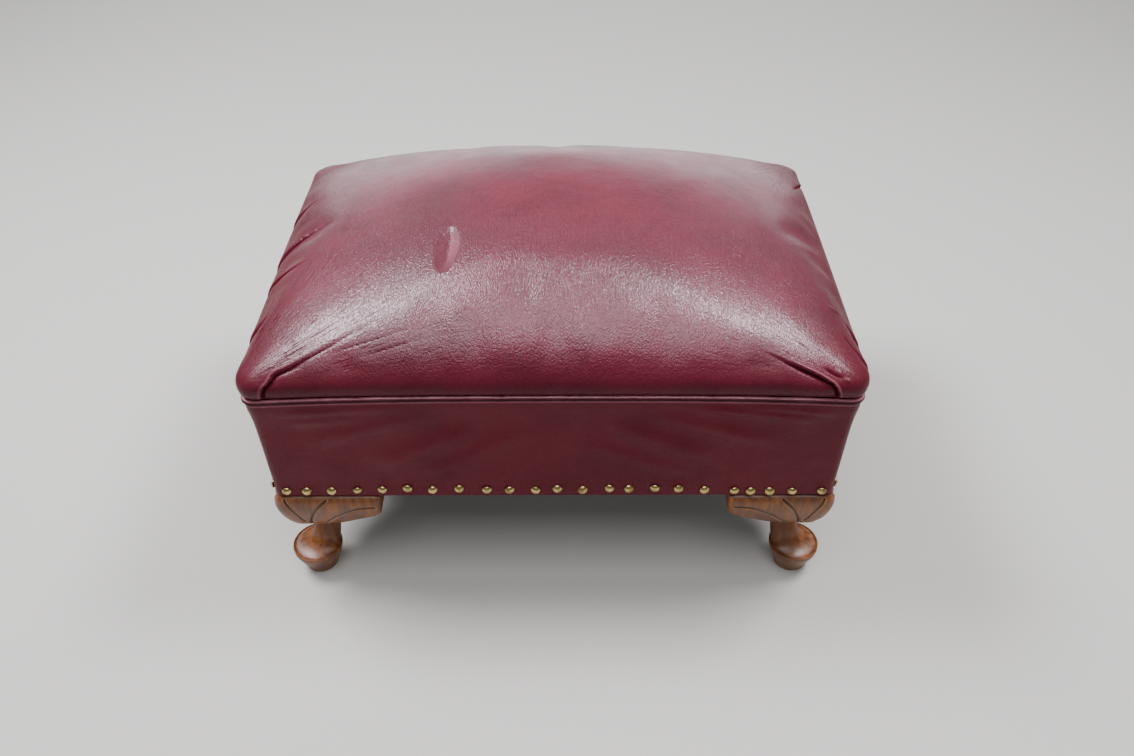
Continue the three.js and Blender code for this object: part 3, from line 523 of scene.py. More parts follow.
# %% Tucks, creases and the dent
EDGE_WIDTH, SINK_REACH = 2.0, 0.35
SHADOW, SHADOW_BELOW, SHADOW_WIDTH, LIP_ABOVE, LIP_WIDTH = 0.95, 1.2, 1.8, 2.2, 1.4
SHARP_TUCKS = 2  # the first ones of the list
TUCK_GAINS, TUCK_SHEENS = (1.0, 0.62), (0.7, 0.4)  # movement and painted highlight on the edge of a sharp and of a flat tuck
CREASE_FADES, CREASE_GAIN, CREASE_NARROW = (0.3, 0.45), 1.3, 0.5
# how strongly a crease gets painted shade, and a ridge a painted highlight
CREASE_SHADE, RIDGE_SHEEN = 0.75, 0.2
DENT_DEPTH, DENT_WIDTH, DENT_EDGE = 4.5, 14.0, 3.0
LIFT_RISE, MARK_RISE = 9.0, 4.0  # heights over the seat line at which both have come in


def hollow(points, normals, line, depth, width):
    """A pressed-in hollow shaped as a lens: how far it sinks, and its mark. Its half width and depth
    follow the square root of 4 a (1 - a), where a is the place along the line. One flank gets a
    painted highlight, more so at the near end, and the other a little painted shade."""
    distance, side, along = near_line(points, normals, curved(line))
    bow = np.sqrt(4 * along * (1 - along))
    near = np.clip(1 - distance / np.maximum(width * bow, 0.1), 0, 1)
    flank = soft_step(near)
    across = np.clip(0.5 + side * distance / DENT_EDGE, 0, 1)
    # painted highlight on one flank of the dent, painted shade on the other
    light = across * (0.65 - 0.25 * along) * np.clip(near * 4, 0, 1)
    return -depth * bow * flank ** 0.8, (light - (1 - across) * 0.3 * flank) * bow


# line, stand of the upper layer, sink of the lower one, reach, and the fades at both ends
TUCKS = [
    ([(-272, -203, 284), (-268, -206, 295), (-262, -204, 302), (-256, -196, 307), (-242, -190, 311),
      (-228, -183, 316), (-209, -175, 322), (-189, -166, 329)], 1.8, 4.2, 10, 0, 0.8),
    ([(190, -178, 321), (214, -187, 315), (241, -197, 307), (258, -205, 301), (264, -207, 293),
      (267, -204, 284)], 1.8, 5.0, 13, 0.6, 0),
    ([(-293, -34, 286), (-298, -21, 295), (-297, -9, 302), (-288, 1, 309), (-276, 7, 317), (-261, 10, 325),
      (-247, 11, 331), (-225, 11, 340)], 1.8, 4.0, 18, 0, 0.6),
    ([(-293, -76, 286), (-298, -67, 295), (-296, -58, 301), (-288, -52, 308), (-278, -49, 315),
      (-265, -48, 322), (-252, -49, 328), (-238, -50, 335)], 1.2, 2.8, 14, 0, 0.6),
    ([(-293, 50, 286), (-298, 58, 295), (-296, 66, 301), (-291, 74, 306), (-281, 77, 312), (-272, 79, 318),
      (-263, 81, 323)], 1.2, 2.8, 14, 0, 0.6),
    ([(-293, -150, 286), (-298, -141, 294), (-297, -132, 301), (-291, -125, 306), (-284, -120, 311),
      (-275, -117, 316)], 1.8, 4.0, 12, 0, 0.5),
    ([(274, 108, 320), (284, 122, 313), (292, 138, 305), (297, 150, 297), (293, 158, 286)],
     1.6, 4.5, 12, 0.5, 0),
    ([(282, -120, 311), (291, -132, 306), (298, -146, 298), (294, -156, 286)], 1.6, 3.6, 8, 0.6, 0),
    ([(283, -158, 308), (291, -168, 304), (297, -178, 297), (293, -184, 286)], 1.8, 3.6, 8, 0.6, 0),
    ([(238, 190, 310), (250, 199, 304), (258, 206, 297), (262, 202, 286)], 1.4, 3.5, 10, 0.6, 0),
    ([(-262, 202, 286), (-258, 206, 297), (-250, 199, 304), (-238, 190, 310)], 1.4, 3.5, 10, 0, 0.6),
]
# line, depth, width
CREASES = [
    ([(-250, -150, 321), (-234, -136, 329), (-221, -129, 334), (-191, -120, 344), (-158, -106, 354)],
     0.6, 2),
    ([(-258, -172, 315), (-232, -157, 325), (-204, -149, 334), (-185, -139, 340), (-148, -130, 349)],
     0.7, 2),
    ([(-243, -174, 317), (-222, -166, 324), (-207, -156, 331), (-186, -150, 337), (-157, -139, 345)],
     0.45, 2),
    ([(-236, -187, 313), (-214, -177, 320), (-189, -166, 329), (-169, -157, 336), (-140, -143, 345)],
     0.8, 2.2),
    ([(-220, -186, 316), (-207, -181, 319), (-175, -174, 326), (-147, -168, 333), (-112, -160, 340)],
     0.55, 2),
    ([(-186, -188, 316), (-149, -179, 325), (-123, -175, 331), (-88, -170, 336)], 0.5, 2),
    ([(-285, 168, 308), (-262, 178, 312), (-248, 187, 312), (-222, 179, 318)], 0.8, 2.5),
    ([(251, 134, 324), (267, 139, 318), (284, 142, 309)], 0.9, 3),
    ([(240, 122, 330), (262, 130, 321), (280, 134, 312)], -0.8, 3),
    ([(233, -119, 333), (241, -133, 328), (250, -147, 323), (261, -160, 317)], 0.5, 2),
    ([(214, -142, 333), (221, -152, 329), (231, -160, 324), (245, -164, 320)], 0.5, 2),
    ([(266, -114, 319), (285, -117, 310)], -0.9, 4),
    ([(275, -146, 314), (281, -156, 310), (288, -170, 305)], 1.0, 2.4),
    ([(287, -138, 307), (292, -150, 304), (296, -164, 301)], 1.0, 2.4),
    ([(262, -192, 308), (268, -200, 303), (278, -203, 299)], -1.2, 3),
    ([(248, -190, 311), (262, -198, 305), (276, -201, 302)], 1.2, 3.5),
    ([(-31, -122, 363), (17, -120, 365), (43, -118, 364), (76, -117, 363), (126, -107, 359)], 0.25, 2),
    ([(-32, -142, 355), (-18, -152, 350), (-6, -160, 345)], 0.4, 2),
    ([(21, -134, 359), (34, -122, 363), (45, -109, 367)], 0.4, 2),
]
DENT = [(-102, -48, 369), (-102, -66, 368), (-103, -84, 367), (-106, -112, 362)]
print("tucks", len(TUCKS), "creases", len(CREASES))


# %% All lines together
def line_field(points, normals):
    """All lines together: how far the leather moves along its normals, and its mark, from -1 where a
    crease or the shadow under an edge is painted dark to 1 where an edge gets a painted highlight."""
    move, mark = np.zeros(points.shape[:2]), np.zeros(points.shape[:2])
    for number, (line, stand, sink, reach, start, end) in enumerate(TUCKS):
        flat = int(number >= SHARP_TUCKS)
        moved, painted_light = tuck(points, normals, line, stand, sink, reach, start, end, TUCK_SHEENS[flat])
        move += TUCK_GAINS[flat] * moved
        mark += painted_light
    # creases get painted shade along them, ridges a faint painted highlight
    for line, depth, width in CREASES:
        sunk = crease(points, normals, line, depth, CREASE_NARROW * width)
        move += CREASE_GAIN * sunk
        mark += (CREASE_SHADE if depth > 0 else RIDGE_SHEEN) * sunk / abs(depth)
    sunk, painted_light = hollow(points, normals, DENT, DENT_DEPTH, DENT_WIDTH)
    return move + sunk, np.clip(mark, -1, 1) + painted_light


seat_normals = outward_normals(seat_rest)
above_line = over_seat_line(seat_rest)
lift, seat_shade_and_sheen = line_field(seat_rest, seat_normals)
lift *= np.clip(above_line / LIFT_RISE, 0, 1)
seat_shade_and_sheen *= np.clip(above_line / MARK_RISE, 0, 1)
print("lines stand", round(lift.max(), 2), "mm and sink", round(-lift.min(), 2), "mm")

# %% [markdown]
# ## The pull to the corners
# Where leather is drawn to a corner, fine lines in its surface fan out from there. They are too fine
# for the mesh, so each point only keeps its distance to the corner and its angle round it, and the
# finish draws the lines from these.

# %% Pull
PULL_REACH, PULL_ELSEWHERE, CORNER_TURN = 185.0, 0.55, 0.7  # the front left corner is pulled hardest


def pull(points):
    """Where the leather is drawn to a corner: distance to it, angle round it, and how strongly."""
    x, y = points[..., 0], points[..., 1]
    apart = np.stack([SEAT_HALF[0] - np.abs(x), SEAT_HALF[1] - np.abs(y)], -1)
    distance = np.hypot(apart[..., 0], apart[..., 1])
    angle = np.arctan2(apart[..., 1], apart[..., 0]) + CORNER_TURN * (np.sign(x) + 2 * np.sign(y))
    strength = bell(distance, PULL_REACH) * np.where((x < 0) & (y < 0), 1.0, PULL_ELSEWHERE)
    return distance, angle, strength


pull_distance, pull_angle, pull_strength = pull(seat_rest)
print("pull", round(pull_strength.min(), 2), "to", round(pull_strength.max(), 2))

# %% [markdown]
# ## The seat cover
# The cover is one hide about a millimetre thick. The sheet gets that thickness last, inwards, so
# that its outside stays where it is. Its finish reads a few numbers from each point: marks of painted
# shade and painted highlight, pull, painted shade low on the sides, and grain where the front of the top is
# worn.

# %% Seat leather
PULL_FROM, PULL_OVER = 16.0, 20.0
SHADE_TOP, SHADE_OVER = 52.0, 34.0
WORN_HALF, WORN_MIDDLE, WORN_DEPTH = 240.0, -118.0, 92.0


def store(piece, name, values):
    """A number for each point, kept on the mesh for its finish to read."""
    attribute = piece.data.attributes.new(name, "FLOAT", "POINT")
    attribute.data.foreach_set("value", np.asarray(values, np.float32).ravel())


seat_points = seat_rest + pucker + lift[..., None] * seat_normals
seat_leather = grid_piece("seat_leather", seat_points, "leather", ["seat_cover"])
worn_x, worn_y = seat_rest[..., 0] / WORN_HALF, (seat_rest[..., 1] - WORN_MIDDLE) / WORN_DEPTH
seat_fields = {
    "mark": seat_shade_and_sheen,
    "pull": pull_strength * np.clip((above_line - PULL_FROM) / PULL_OVER, 0, 1),
    "pull_distance": pull_distance * MM,
    "pull_angle": pull_angle,
    "grain": np.exp(-(worn_x**4) - worn_y**2),
    "shade": np.clip((SHADE_TOP - above_line) / SHADE_OVER, 0, 1),
}
for field, values in seat_fields.items():
    store(seat_leather, field, values)
thicken(seat_leather, 1.0)

# %% [markdown]
# ## The piping
# Piping is a strip of leather sewn round a cord, with its flange tacked under the band. Its section
# is carried round the seat line. Each stitch draws it in a little, and so its radius breathes.

# %% Piping round the seat line
WELT_RADIUS, WELT_OUT, WELT_UP, WELT_BORE = 2.8, 5.4, -3.1, 2.0
STITCH_DRAW, STITCH_WAVES, WOBBLE, WOBBLE_WAVES, SINES = 0.035, 260, 0.22, 60, 12
FLANGE_DROPS, FLANGE_WIDTH = (4, 8, 12), 0.8
WRAP = (-0.42, 1.0, 15)  # half turns from under the cord, over it and down behind, and points
CORD_RADIUS, STRAND, STRANDS, CORD_TWIST, CORD_SIDES = 1.45, 0.2, 3, 0.9, 12
LEAST_CORNER, TRIM_STEP = 0.2, 2.5
trim_side, trim_share = ring(TRIM_STEP)


def wander(count, waves, seed):
    """A smooth closed wave: a sum of sines with whole numbers of turns and random phases."""
    dice = np.random.default_rng(seed)
    turns = dice.integers(waves // 3, waves, SINES)
    phases = dice.uniform(0, 2 * np.pi, SINES)
    angle = np.linspace(0, 2 * np.pi, count, endpoint=False)[:, None]
    return np.sin(angle * turns + phases).sum(1) / np.sqrt(SINES)


def carried(section, side, share, base):
    """A section carried round the frame.

    Each row of the section is out from the rails, up from the base height and share of the dip.
    It may hold one value a row, or one for each row and column.
    """
    out, up, dips = (
        np.stack([np.broadcast_to(value, len(side)) for value in part], -1) for part in zip(*section))
    side, share = side[:, None], share[:, None]
    corner = np.maximum(FRAME_CORNER + out, LEAST_CORNER)
    plan, facing = rounded_outline(FRAME_HALF[0] + out, FRAME_HALF[1] + out, corner, side, share)
    z = base + up - dips * dip(plan[..., 0], plan[..., 1])
    return np.concatenate([plan, z[..., None]], -1), facing


# %% Welt and cord
def welt_points():
    """A round wrap from under the cord over its top, then both plies of the flange going down."""
    angles = np.linspace(*WRAP) * np.pi
    radius = WELT_RADIUS * (1 + STITCH_DRAW * wander(len(trim_side), STITCH_WAVES, 3))
    middle = WELT_UP + WOBBLE * wander(len(trim_side), WOBBLE_WAVES, 4)
    back, front = WELT_OUT - WELT_RADIUS, WELT_OUT - WELT_RADIUS + FLANGE_WIDTH
    rows = [(WELT_OUT + radius * np.cos(a), middle + radius * np.sin(a), 1) for a in angles]
    rows += [(back, WELT_UP - drop, 1) for drop in FLANGE_DROPS]
    rows += [(front, WELT_UP - drop, 1) for drop in FLANGE_DROPS[::-1]]
    rows += [(WELT_OUT + WELT_BORE * np.cos(a), WELT_UP + WELT_BORE * np.sin(a), 1) for a in angles[::-2]]
    return carried(rows, trim_side, trim_share, SEAT_LINE)[0]


def cord_points():
    """The cord inside: its radius swells with each of its three strands, which wind along it."""
    twist = np.cumsum(np.full(len(trim_side), CORD_TWIST))
    rows = []
    for a in np.linspace(0, 2 * np.pi, CORD_SIDES, endpoint=False):
        radius = CORD_RADIUS + STRAND * np.cos(STRANDS * (a - twist))
        rows.append((WELT_OUT + radius * np.cos(a), WELT_UP + radius * np.sin(a), 1))
    return carried(rows, trim_side, trim_share, SEAT_LINE)[0]


welt_grid = welt_points()
welt = grid_piece("welt_leather", welt_grid, "leather", ["welt_cover"], True)
grid_piece("piping_cord", cord_points(), "cotton", ["welt_cord"], True)

# %% [markdown]
# ## The border band
# The band is a strip of leather folded over a card strip under the piping, drawn down over the
# rails and turned under them. Its section runs up its outside and back down its inside, so it is a
# closed strip a millimetre thick, and one wrinkle moves both of its faces.

# %% Band leather
BAND_OUT, BAND_FOLD_OUT, BAND_BOTTOM = 4.2, 6.1, RAIL_BOTTOM - 1.3
STRIP_END, FOLD_TOP, FOLD_RADIUS, EASE = -16.5, -7.8, 1.6, 32.0
BAND_WALL, HEEL, HEEL_OUT, CARD_GAP = 1.0, 2.0, 2.2, 0.4
LIP_OUTS = (-11, -4)
band_drop = SEAT_LINE + STRIP_END - EASE - BAND_BOTTOM


def face_row(s, wall=0.0):
    """A row on the flat of the band, a share s of the way up. Wrinkles come in over its lowest third."""
    return BAND_OUT - wall, HEEL + (band_drop - HEEL) * s, s, math.sin(math.pi * min(s * 1.6, 0.5))


def ease_row(s, wall=0.0):
    """A row where the band swings out over the card strip, by the square of the share s."""
    return BAND_OUT - wall + (BAND_FOLD_OUT - BAND_OUT) * s * s, band_drop + EASE * s, 1, 1 - 0.5 * s * s


def band_section():
    """Rows as (out, up from the band's bottom, share of the dip), with a part that says how much of
    a wrinkle the row takes: lip, heel, face, ease and fold, and then back down the inside."""
    rows = [(out, 0, 0, 0) for out in LIP_OUTS]
    rows += [(HEEL_OUT + HEEL * math.sin(a), HEEL - HEEL * math.cos(a), 0, 0.2)
             for a in np.linspace(0, math.pi / 2, 5)]
    rows += [face_row(s) for s in np.linspace(0, 1, 46)[1:]]
    rows += [ease_row(s) for s in np.linspace(0, 1, 15)[1:]]
    rise = band_drop + EASE
    top = rise + FOLD_TOP - STRIP_END
    rows += [(BAND_FOLD_OUT, rise + (top - rise) * s, 1, 0.5 * (1 - s)) for s in (0.35, 0.7, 0.95)]
    rows += [(BAND_FOLD_OUT - FOLD_RADIUS * (1 - math.cos(a)), top + FOLD_RADIUS * math.sin(a), 1, 0)
             for a in np.linspace(0, math.pi, 8)]
    tail, front, card_top = BAND_FOLD_OUT - 2 * FOLD_RADIUS, BAND_FOLD_OUT - BAND_WALL, top - CARD_GAP
    rows += [(tail, rise, 1, 0), (tail + BAND_WALL, rise, 1, 0), (tail + BAND_WALL, card_top, 1, 0)]
    rows += [(front, card_top, 1, 0), (front, rise, 1, 0.5)]
    rows += [ease_row(s, BAND_WALL) for s in (0.8, 0.6, 0.4, 0.2)]
    rows += [face_row(s, BAND_WALL) for s in np.linspace(1, 0, 24)]
    return rows + [(out, BAND_WALL, 0, 0) for out in (HEEL_OUT, *LIP_OUTS[::-1])]


band_rows = band_section()
band_rest, band_facing = carried([row[:3] for row in band_rows], trim_side, trim_share, BAND_BOTTOM)
band_takes = np.array([row[3] for row in band_rows])
band_normals = np.concatenate([band_facing, np.zeros_like(band_facing[..., :1])], -1)
print("band rows", len(band_rows), "round", len(trim_side))

# %% [markdown]
# ## Wrinkles of the band
# The band was pulled down harder in the middle of the front, so its slack lies in soft folds that
# fan out to the ends. Folds are ridges along lines on the face, by distance along it and height.

# %% Band wrinkles
# line as (x, z), stand, width
FRONT_FOLDS = [
    ([(-190, 176), (-150, 200), (-110, 220), (-70, 243)], 2.0, 13),
    ([(-150, 165), (-105, 186), (-60, 214), (-20, 240)], 1.8, 12),
    ([(-255, 214), (-200, 232), (-140, 250), (-90, 262)], 1.2, 10),
    ([(40, 250), (90, 228), (140, 204), (175, 186)], 2.0, 13),
    ([(20, 222), (70, 200), (120, 180), (150, 168)], 1.6, 12),
    ([(80, 262), (130, 246), (190, 226), (230, 214)], 1.8, 10),
    ([(120, 268), (170, 263), (225, 255), (262, 247)], 2.2, 5),
    ([(170, 270), (210, 268), (250, 262), (278, 256)], 1.6, 4),
    ([(-275, 258), (-235, 262), (-190, 266), (-140, 269)], 1.4, 5),
    ([(-270, 246), (-220, 250), (-170, 256)], 0.8, 6),
]
FOLD_GAIN, FOLD_FADE, SIDE_FOLDS = 2.0, 0.3, 7
FACE_SINK = 0.6  # the face lies this much further in, so that the folds stand evenly about its place
CORNER_CALM, CORNER_OVER = 2.0, 25.0
EDGE_UP, EDGE_SPREAD = 0.6, 1.3  # the painted highlight along the top fold


# %% Folds on all four sides
def side_folds(seed, half):
    """Soft folds for a side that the view doesn't show, drawn at random but leaning as the front's."""
    dice = np.random.default_rng(seed)
    folds = []
    for _ in range(SIDE_FOLDS):
        x, z = dice.uniform(-0.75, 0.75) * half, dice.uniform(175, 250)
        lean = -np.sign(x) * dice.uniform(15, 40)
        reach = dice.uniform(35, 60)
        line = [(x - reach, z - lean), (x, z), (x + reach, z + lean)]
        folds.append((line, dice.uniform(0.8, 1.8), dice.uniform(8, 13)))
    return folds


def band_folds(points):
    """Ridges on each side's face, each its stand times a bell, gone before the face turns a corner."""
    lift = np.zeros(points.shape[:2])
    for number, half in enumerate((*FRAME_HALF, *FRAME_HALF)):
        along = points[..., :2] @ ALONG[number]
        on_side = (trim_side == number)[:, None]
        for line, stand, width in FRONT_FOLDS if number == 0 else side_folds(20 + number, half):
            distance, _, place = near_flat_line(along, points[..., 2], line)
            ridge = FOLD_GAIN * stand * bell(distance, width) * ends_fade(place, FOLD_FADE, FOLD_FADE)
            lift += np.where(on_side, ridge, 0)
        lift *= np.where(on_side, np.clip((half + CORNER_CALM - np.abs(along)) / CORNER_OVER, 0, 1), 1)
    return lift


band_lift = band_folds(band_rest) - FACE_SINK
band_points = band_rest + (band_lift * band_takes)[..., None] * band_normals
band = grid_piece("border_leather", band_points, "leather", ["border_band"], True)
edge = bell(over_seat_line(band_rest) - FOLD_TOP - EDGE_UP, EDGE_SPREAD)
welt_up = (over_seat_line(welt_grid) - WELT_UP) / WELT_RADIUS
# painted highlight along the band's top fold, and along the welt's top with painted shade below it
edge_sheen_and_shade = {band: 0.9 * edge * (band_takes < 0.5), welt: np.clip(2.6 * welt_up - 1.5, -0.9, 0.95)}
for piece, mark in edge_sheen_and_shade.items():
    for field in seat_fields:
        store(piece, field, mark if field == "mark" else np.zeros(mark.shape))

# %% [markdown]
# ## Upholstery nails
# Each head is a dome with a thin rim, turned from a short profile. The nailing on the front is
# uneven, as it is by hand, so its places are listed. The other sides use an even pitch that
# wanders a little.

# %% Nail heads
NAIL_RADIUS, NAIL_HEIGHT, NAIL_UP, NAIL_SUNK, NAIL_SIDES = 5.4, 3.4, 9.0, 0.1, 14
NAIL_PITCH, NAIL_END = 25.4, 12.0  # between heads, and from the first head to the corner
# a head's profile from its tip to its rim and back under it, as shares of the radius and the height
HEAD_RADII = NAIL_RADIUS * np.array([0.0, 0.3, 0.6, 0.83, 0.96, 1.0, 0.93, 0.0])
HEAD_HEIGHTS = NAIL_HEIGHT * np.array([1.0, 0.96, 0.8, 0.52, 0.24, 0.08, -0.04, -0.04])
FRONT_NAILS = np.array([
    -277.0, -256.3, -230.5, -203.5, -177.8, -151.7, -125.6, -98.3, -69.6, -46.1, -19.5, 3.1,
    29.4, 57.0, 77.0, 103.7, 128.5, 155.6, 186.7, 203.4, 223.1, 246.3, 276.9,
])
FRONT_RISES = np.array([
    -0.2, -0.3, 0.1, 0.8, 1.8, 3.6, 1.3, 2.9, 1.1, 1.0, 0.7, 2.5,
    0.7, 3.1, 2.3, 3.3, 2.4, 0.5, -1.0, -1.6, -1.7, -1.8, -1.9,
])
BAND_HALF = FRAME_HALF + BAND_OUT


def nail_row(name, side, places, rises, seed):
    """Heads along one side: the profile turned about the line that points out of the band. A point is
    at radius times (cos a, sin a) on the band and at the profile's height out of it, leaning a bit."""
    dice = np.random.default_rng(seed)
    angles = np.linspace(0, 2 * np.pi, NAIL_SIDES, endpoint=False)
    sizes = dice.uniform(0.95, 1.05, len(places))[:, None, None]
    lean = dice.uniform(-0.12, 0.12, (2, len(places), 1, 1))
    u = HEAD_RADII[None, :, None] * np.cos(angles) * sizes
    w = HEAD_RADII[None, :, None] * np.sin(angles) * sizes
    n = HEAD_HEIGHTS[None, :, None] * sizes + lean[0] * u + lean[1] * w
    stand = BAND_HALF[1 - side % 2] + n - NAIL_SUNK
    run = places[:, None, None] + u
    plan = run[..., None] * ALONG[side] + stand[..., None] * OUTWARDS[side]
    z = BAND_BOTTOM + NAIL_UP + w + rises[:, None, None]
    points = np.concatenate([plan, z[..., None]], -1)
    one = grid_faces(len(HEAD_RADII), NAIL_SIDES, False, True)
    starts = np.arange(len(places)) * len(HEAD_RADII) * NAIL_SIDES
    piece = make_piece(name, points, (starts[:, None, None] + one).reshape(-1, 4), "brass")
    weld = piece.modifiers.new("tips", "WELD")
    weld.merge_threshold = 0.02 * MM


def even_places(half, seed):
    """Places about 25 mm apart between the ends, and their rises, each a little off."""
    run = half - NAIL_END
    count = int(round(2 * run / NAIL_PITCH)) + 1
    dice = np.random.default_rng(seed)
    places = np.linspace(-run, run, count) + dice.uniform(-1.5, 1.5, count)
    return places, dice.uniform(-1.2, 1.2, count)


nail_row("nails_front", 0, FRONT_NAILS, FRONT_RISES, 11)
nail_row("nails_right", 1, *even_places(BAND_HALF[1], 12), 13)
nail_row("nails_back", 2, *even_places(BAND_HALF[0], 14), 15)
nail_row("nails_left", 3, *even_places(BAND_HALF[1], 16), 17)

# %% [markdown]
# ## The carved legs
# Each leg is one block: a knee with a bracket to either side, an ankle and a pad foot. Its outline
# is drawn at a few heights, as a carver works to a few templates, and smooth curves join them.

# %% Leg outlines
LEG_HEIGHT, KNEE_DROP, KNEE_BULGE, BRACKET_REACH, BRACKET_THICKNESS = 136.0, 52.0, 5.0, 110.0, 26.0
TIP_RADIUS, KNEE_RADIUS, POST = 5.0, 16.0, 58.0
ANKLE_INSET, ANKLE_RADIUS = 35.0, 14.5
FOOT_INSET, FOOT_RADIUS, BASE_RADIUS, RIM_HEIGHT = 21.9, 27.5, 18.0, 32.0
KNEE_LEVELS = np.array([
    [0, 0.2, 1], [0.12, 0.75, 1], [0.28, 1, 1], [0.42, 0.9, 0.98], [0.52, 0.72, 0.93],
    [0.66, 0.4, 0.62], [0.8, -0.1, 0.34], [0.92, -0.7, 0.12], [1, -1.5, 0.04],
])
ANKLE_LEVELS = np.array([
    [0.94, 1, 0.45], [0.82, 1.05, 0.8], [0.6, 1, 0.98], [0.36, 0.95, 1],
    [0.18, 0.8, 0.92], [0.06, 0.52, 0.7], [0, 0.28, 0.4], [-0.012, 0.08, 0.15],
])
FOOT_LEVELS = np.array([[0.4, 0.8], [0.75, 0.95], [0.94, 1], [1.02, 0.98]])


def knee_outline(bulge, reach, t):
    """Half of the knee's outline at one level; the other half is its mirror image. t runs round it:
    the round corner up to 2, the face to 5, the bracket's tip to 6, its end to 7, its back to 9, and
    then the post."""
    face = -bulge * KNEE_BULGE
    end = POST + reach * (BRACKET_REACH - POST)
    middle = KNEE_RADIUS + face
    turn = np.pi / 4 * (1 - np.minimum(t, 2) / 2)
    tip = np.pi / 2 * np.clip(t - 5, 0, 1)
    thick = BRACKET_THICKNESS
    x = np.interp(t, [2, 5, 6, 7, 8, 9, 11],
                  [middle, end - TIP_RADIUS, end, end, (end + POST) / 2, POST, POST])
    y = np.interp(t, [0, 5, 6, 7, 9, 10, 11],
                  [face, face, face + TIP_RADIUS, thick, thick, (thick + POST) / 2, POST])
    x = np.where(t < 2, middle - KNEE_RADIUS * np.sin(turn), x)
    y = np.where(t < 2, middle - KNEE_RADIUS * np.cos(turn), y)
    on_tip = (t >= 5) & (t <= 6)
    x = np.where(on_tip, end - TIP_RADIUS * (1 - np.sin(tip)), x)
    y = np.where(on_tip, face + TIP_RADIUS * (1 - np.cos(tip)), y)
    return np.stack([x, y], -1)


def round_outline(inset, radius, t):
    """Half of a circle, from the outer corner round to the inner one."""
    angle = np.pi * (t / 11 - 0.75)
    return inset + radius * np.stack([np.cos(angle), np.sin(angle)], -1)


# %% Templates joined by smooth curves
def leg_levels(t):
    """Every template from the floor up, with its height."""
    knee_bottom = LEG_HEIGHT - KNEE_DROP
    rings = [(0, round_outline(FOOT_INSET, BASE_RADIUS, t))]
    for rise, wide in FOOT_LEVELS:
        rings.append((rise * RIM_HEIGHT, round_outline(FOOT_INSET, wide * FOOT_RADIUS, t)))
    for rise, moved, thin in ANKLE_LEVELS[::-1]:
        inset = FOOT_INSET + moved * (ANKLE_INSET - FOOT_INSET)
        radius = FOOT_RADIUS + thin * (ANKLE_RADIUS - FOOT_RADIUS)
        rings.append((RIM_HEIGHT + rise * (knee_bottom - RIM_HEIGHT), round_outline(inset, radius, t)))
    for drop, bulge, reach in KNEE_LEVELS[::-1]:
        rings.append((LEG_HEIGHT - drop * KNEE_DROP, knee_outline(bulge, reach, t)))
    plans = np.stack([ring for _, ring in rings])
    heights = np.array([height for height, _ in rings])
    return np.concatenate([plans, np.broadcast_to(heights[:, None, None], (*plans.shape[:2], 1))], -1)


def through(knots, places):
    """A smooth curve through every row of knots.

    Between two rows it is the cubic that has their places and slopes. A row's slope is the mean of
    the slopes either side of it, each weighted by the other's length.
    """
    gaps = np.sqrt(np.linalg.norm(np.diff(knots, axis=0), axis=-1).mean(1))
    at = np.concatenate([[0], np.cumsum(gaps)])
    rates = np.diff(knots, axis=0) / gaps[:, None, None]
    inner = rates[1:] * gaps[:-1, None, None] + rates[:-1] * gaps[1:, None, None]
    inner /= (gaps[1:] + gaps[:-1])[:, None, None]
    slopes = np.concatenate([rates[:1], inner, rates[-1:]])
    where = np.interp(places, np.arange(len(knots)), at)
    k = np.clip(np.searchsorted(at, where, side="right") - 1, 0, len(gaps) - 1)
    span = gaps[k][:, None, None]
    f = ((where - at[k]) / gaps[k])[:, None, None]
    low, high = knots[k], knots[k + 1]
    return ((2 * f**3 - 3 * f**2 + 1) * low + (f**3 - 2 * f**2 + f) * span * slopes[k]
            + (3 * f**2 - 2 * f**3) * high + (f**3 - f**2) * span * slopes[k + 1])


print("templates from floor to rail:", len(leg_levels(np.array([0.0, 11.0]))))

# %% [markdown]
# ## Carving
# Three lines are cut into each outer face of the knee with a V tool. They are given by the distance
# from the corner and the drop from the top. The wood below the long line is set back a little.

# %% Grooves and one leg
GROOVES = [
    [(30, 50.5), (32, 38), (39, 19.7), (46, 9.8), (55, 1.4)],
    [(42.6, 50.5), (55.2, 33.7), (66.9, 23.9), (78.6, 16.9), (87.6, 14), (106, 12.6)],
    [(8.5, 1.4), (18.4, 22.5), (24.7, 42)],
]
GROOVE_DEPTH, GROOVE_HALF, GROOVE_FADE, GROOVE_POINTS = 2.4, 2.7, 0.04, 40
SET_BACK, SET_BACK_OVER, SET_BACK_FROM = 1.4, 2.5, 44.0
CARVED_TO = 5.8  # on the outline: most of the way round the bracket's tip
SPANS = ((0, 2, 20), (2, 5, 112), (5, 6, 8), (6, 7, 14), (7, 9, 10), (9, 11, 10))  # points round it
LEVELS = ((0, 5, 26), (5, 13, 34))  # rows on the foot and on the ankle
KNEE_ROWS = np.linspace(13, 21, 84)
CAP_INSET = 40.0  # where the faces that close the top of a leg meet


def spaced(spans, last):
    """Even places along each span, given as (low, high, count), and then the last ones."""
    return np.concatenate([*(np.linspace(*span, endpoint=False) for span in spans), last])


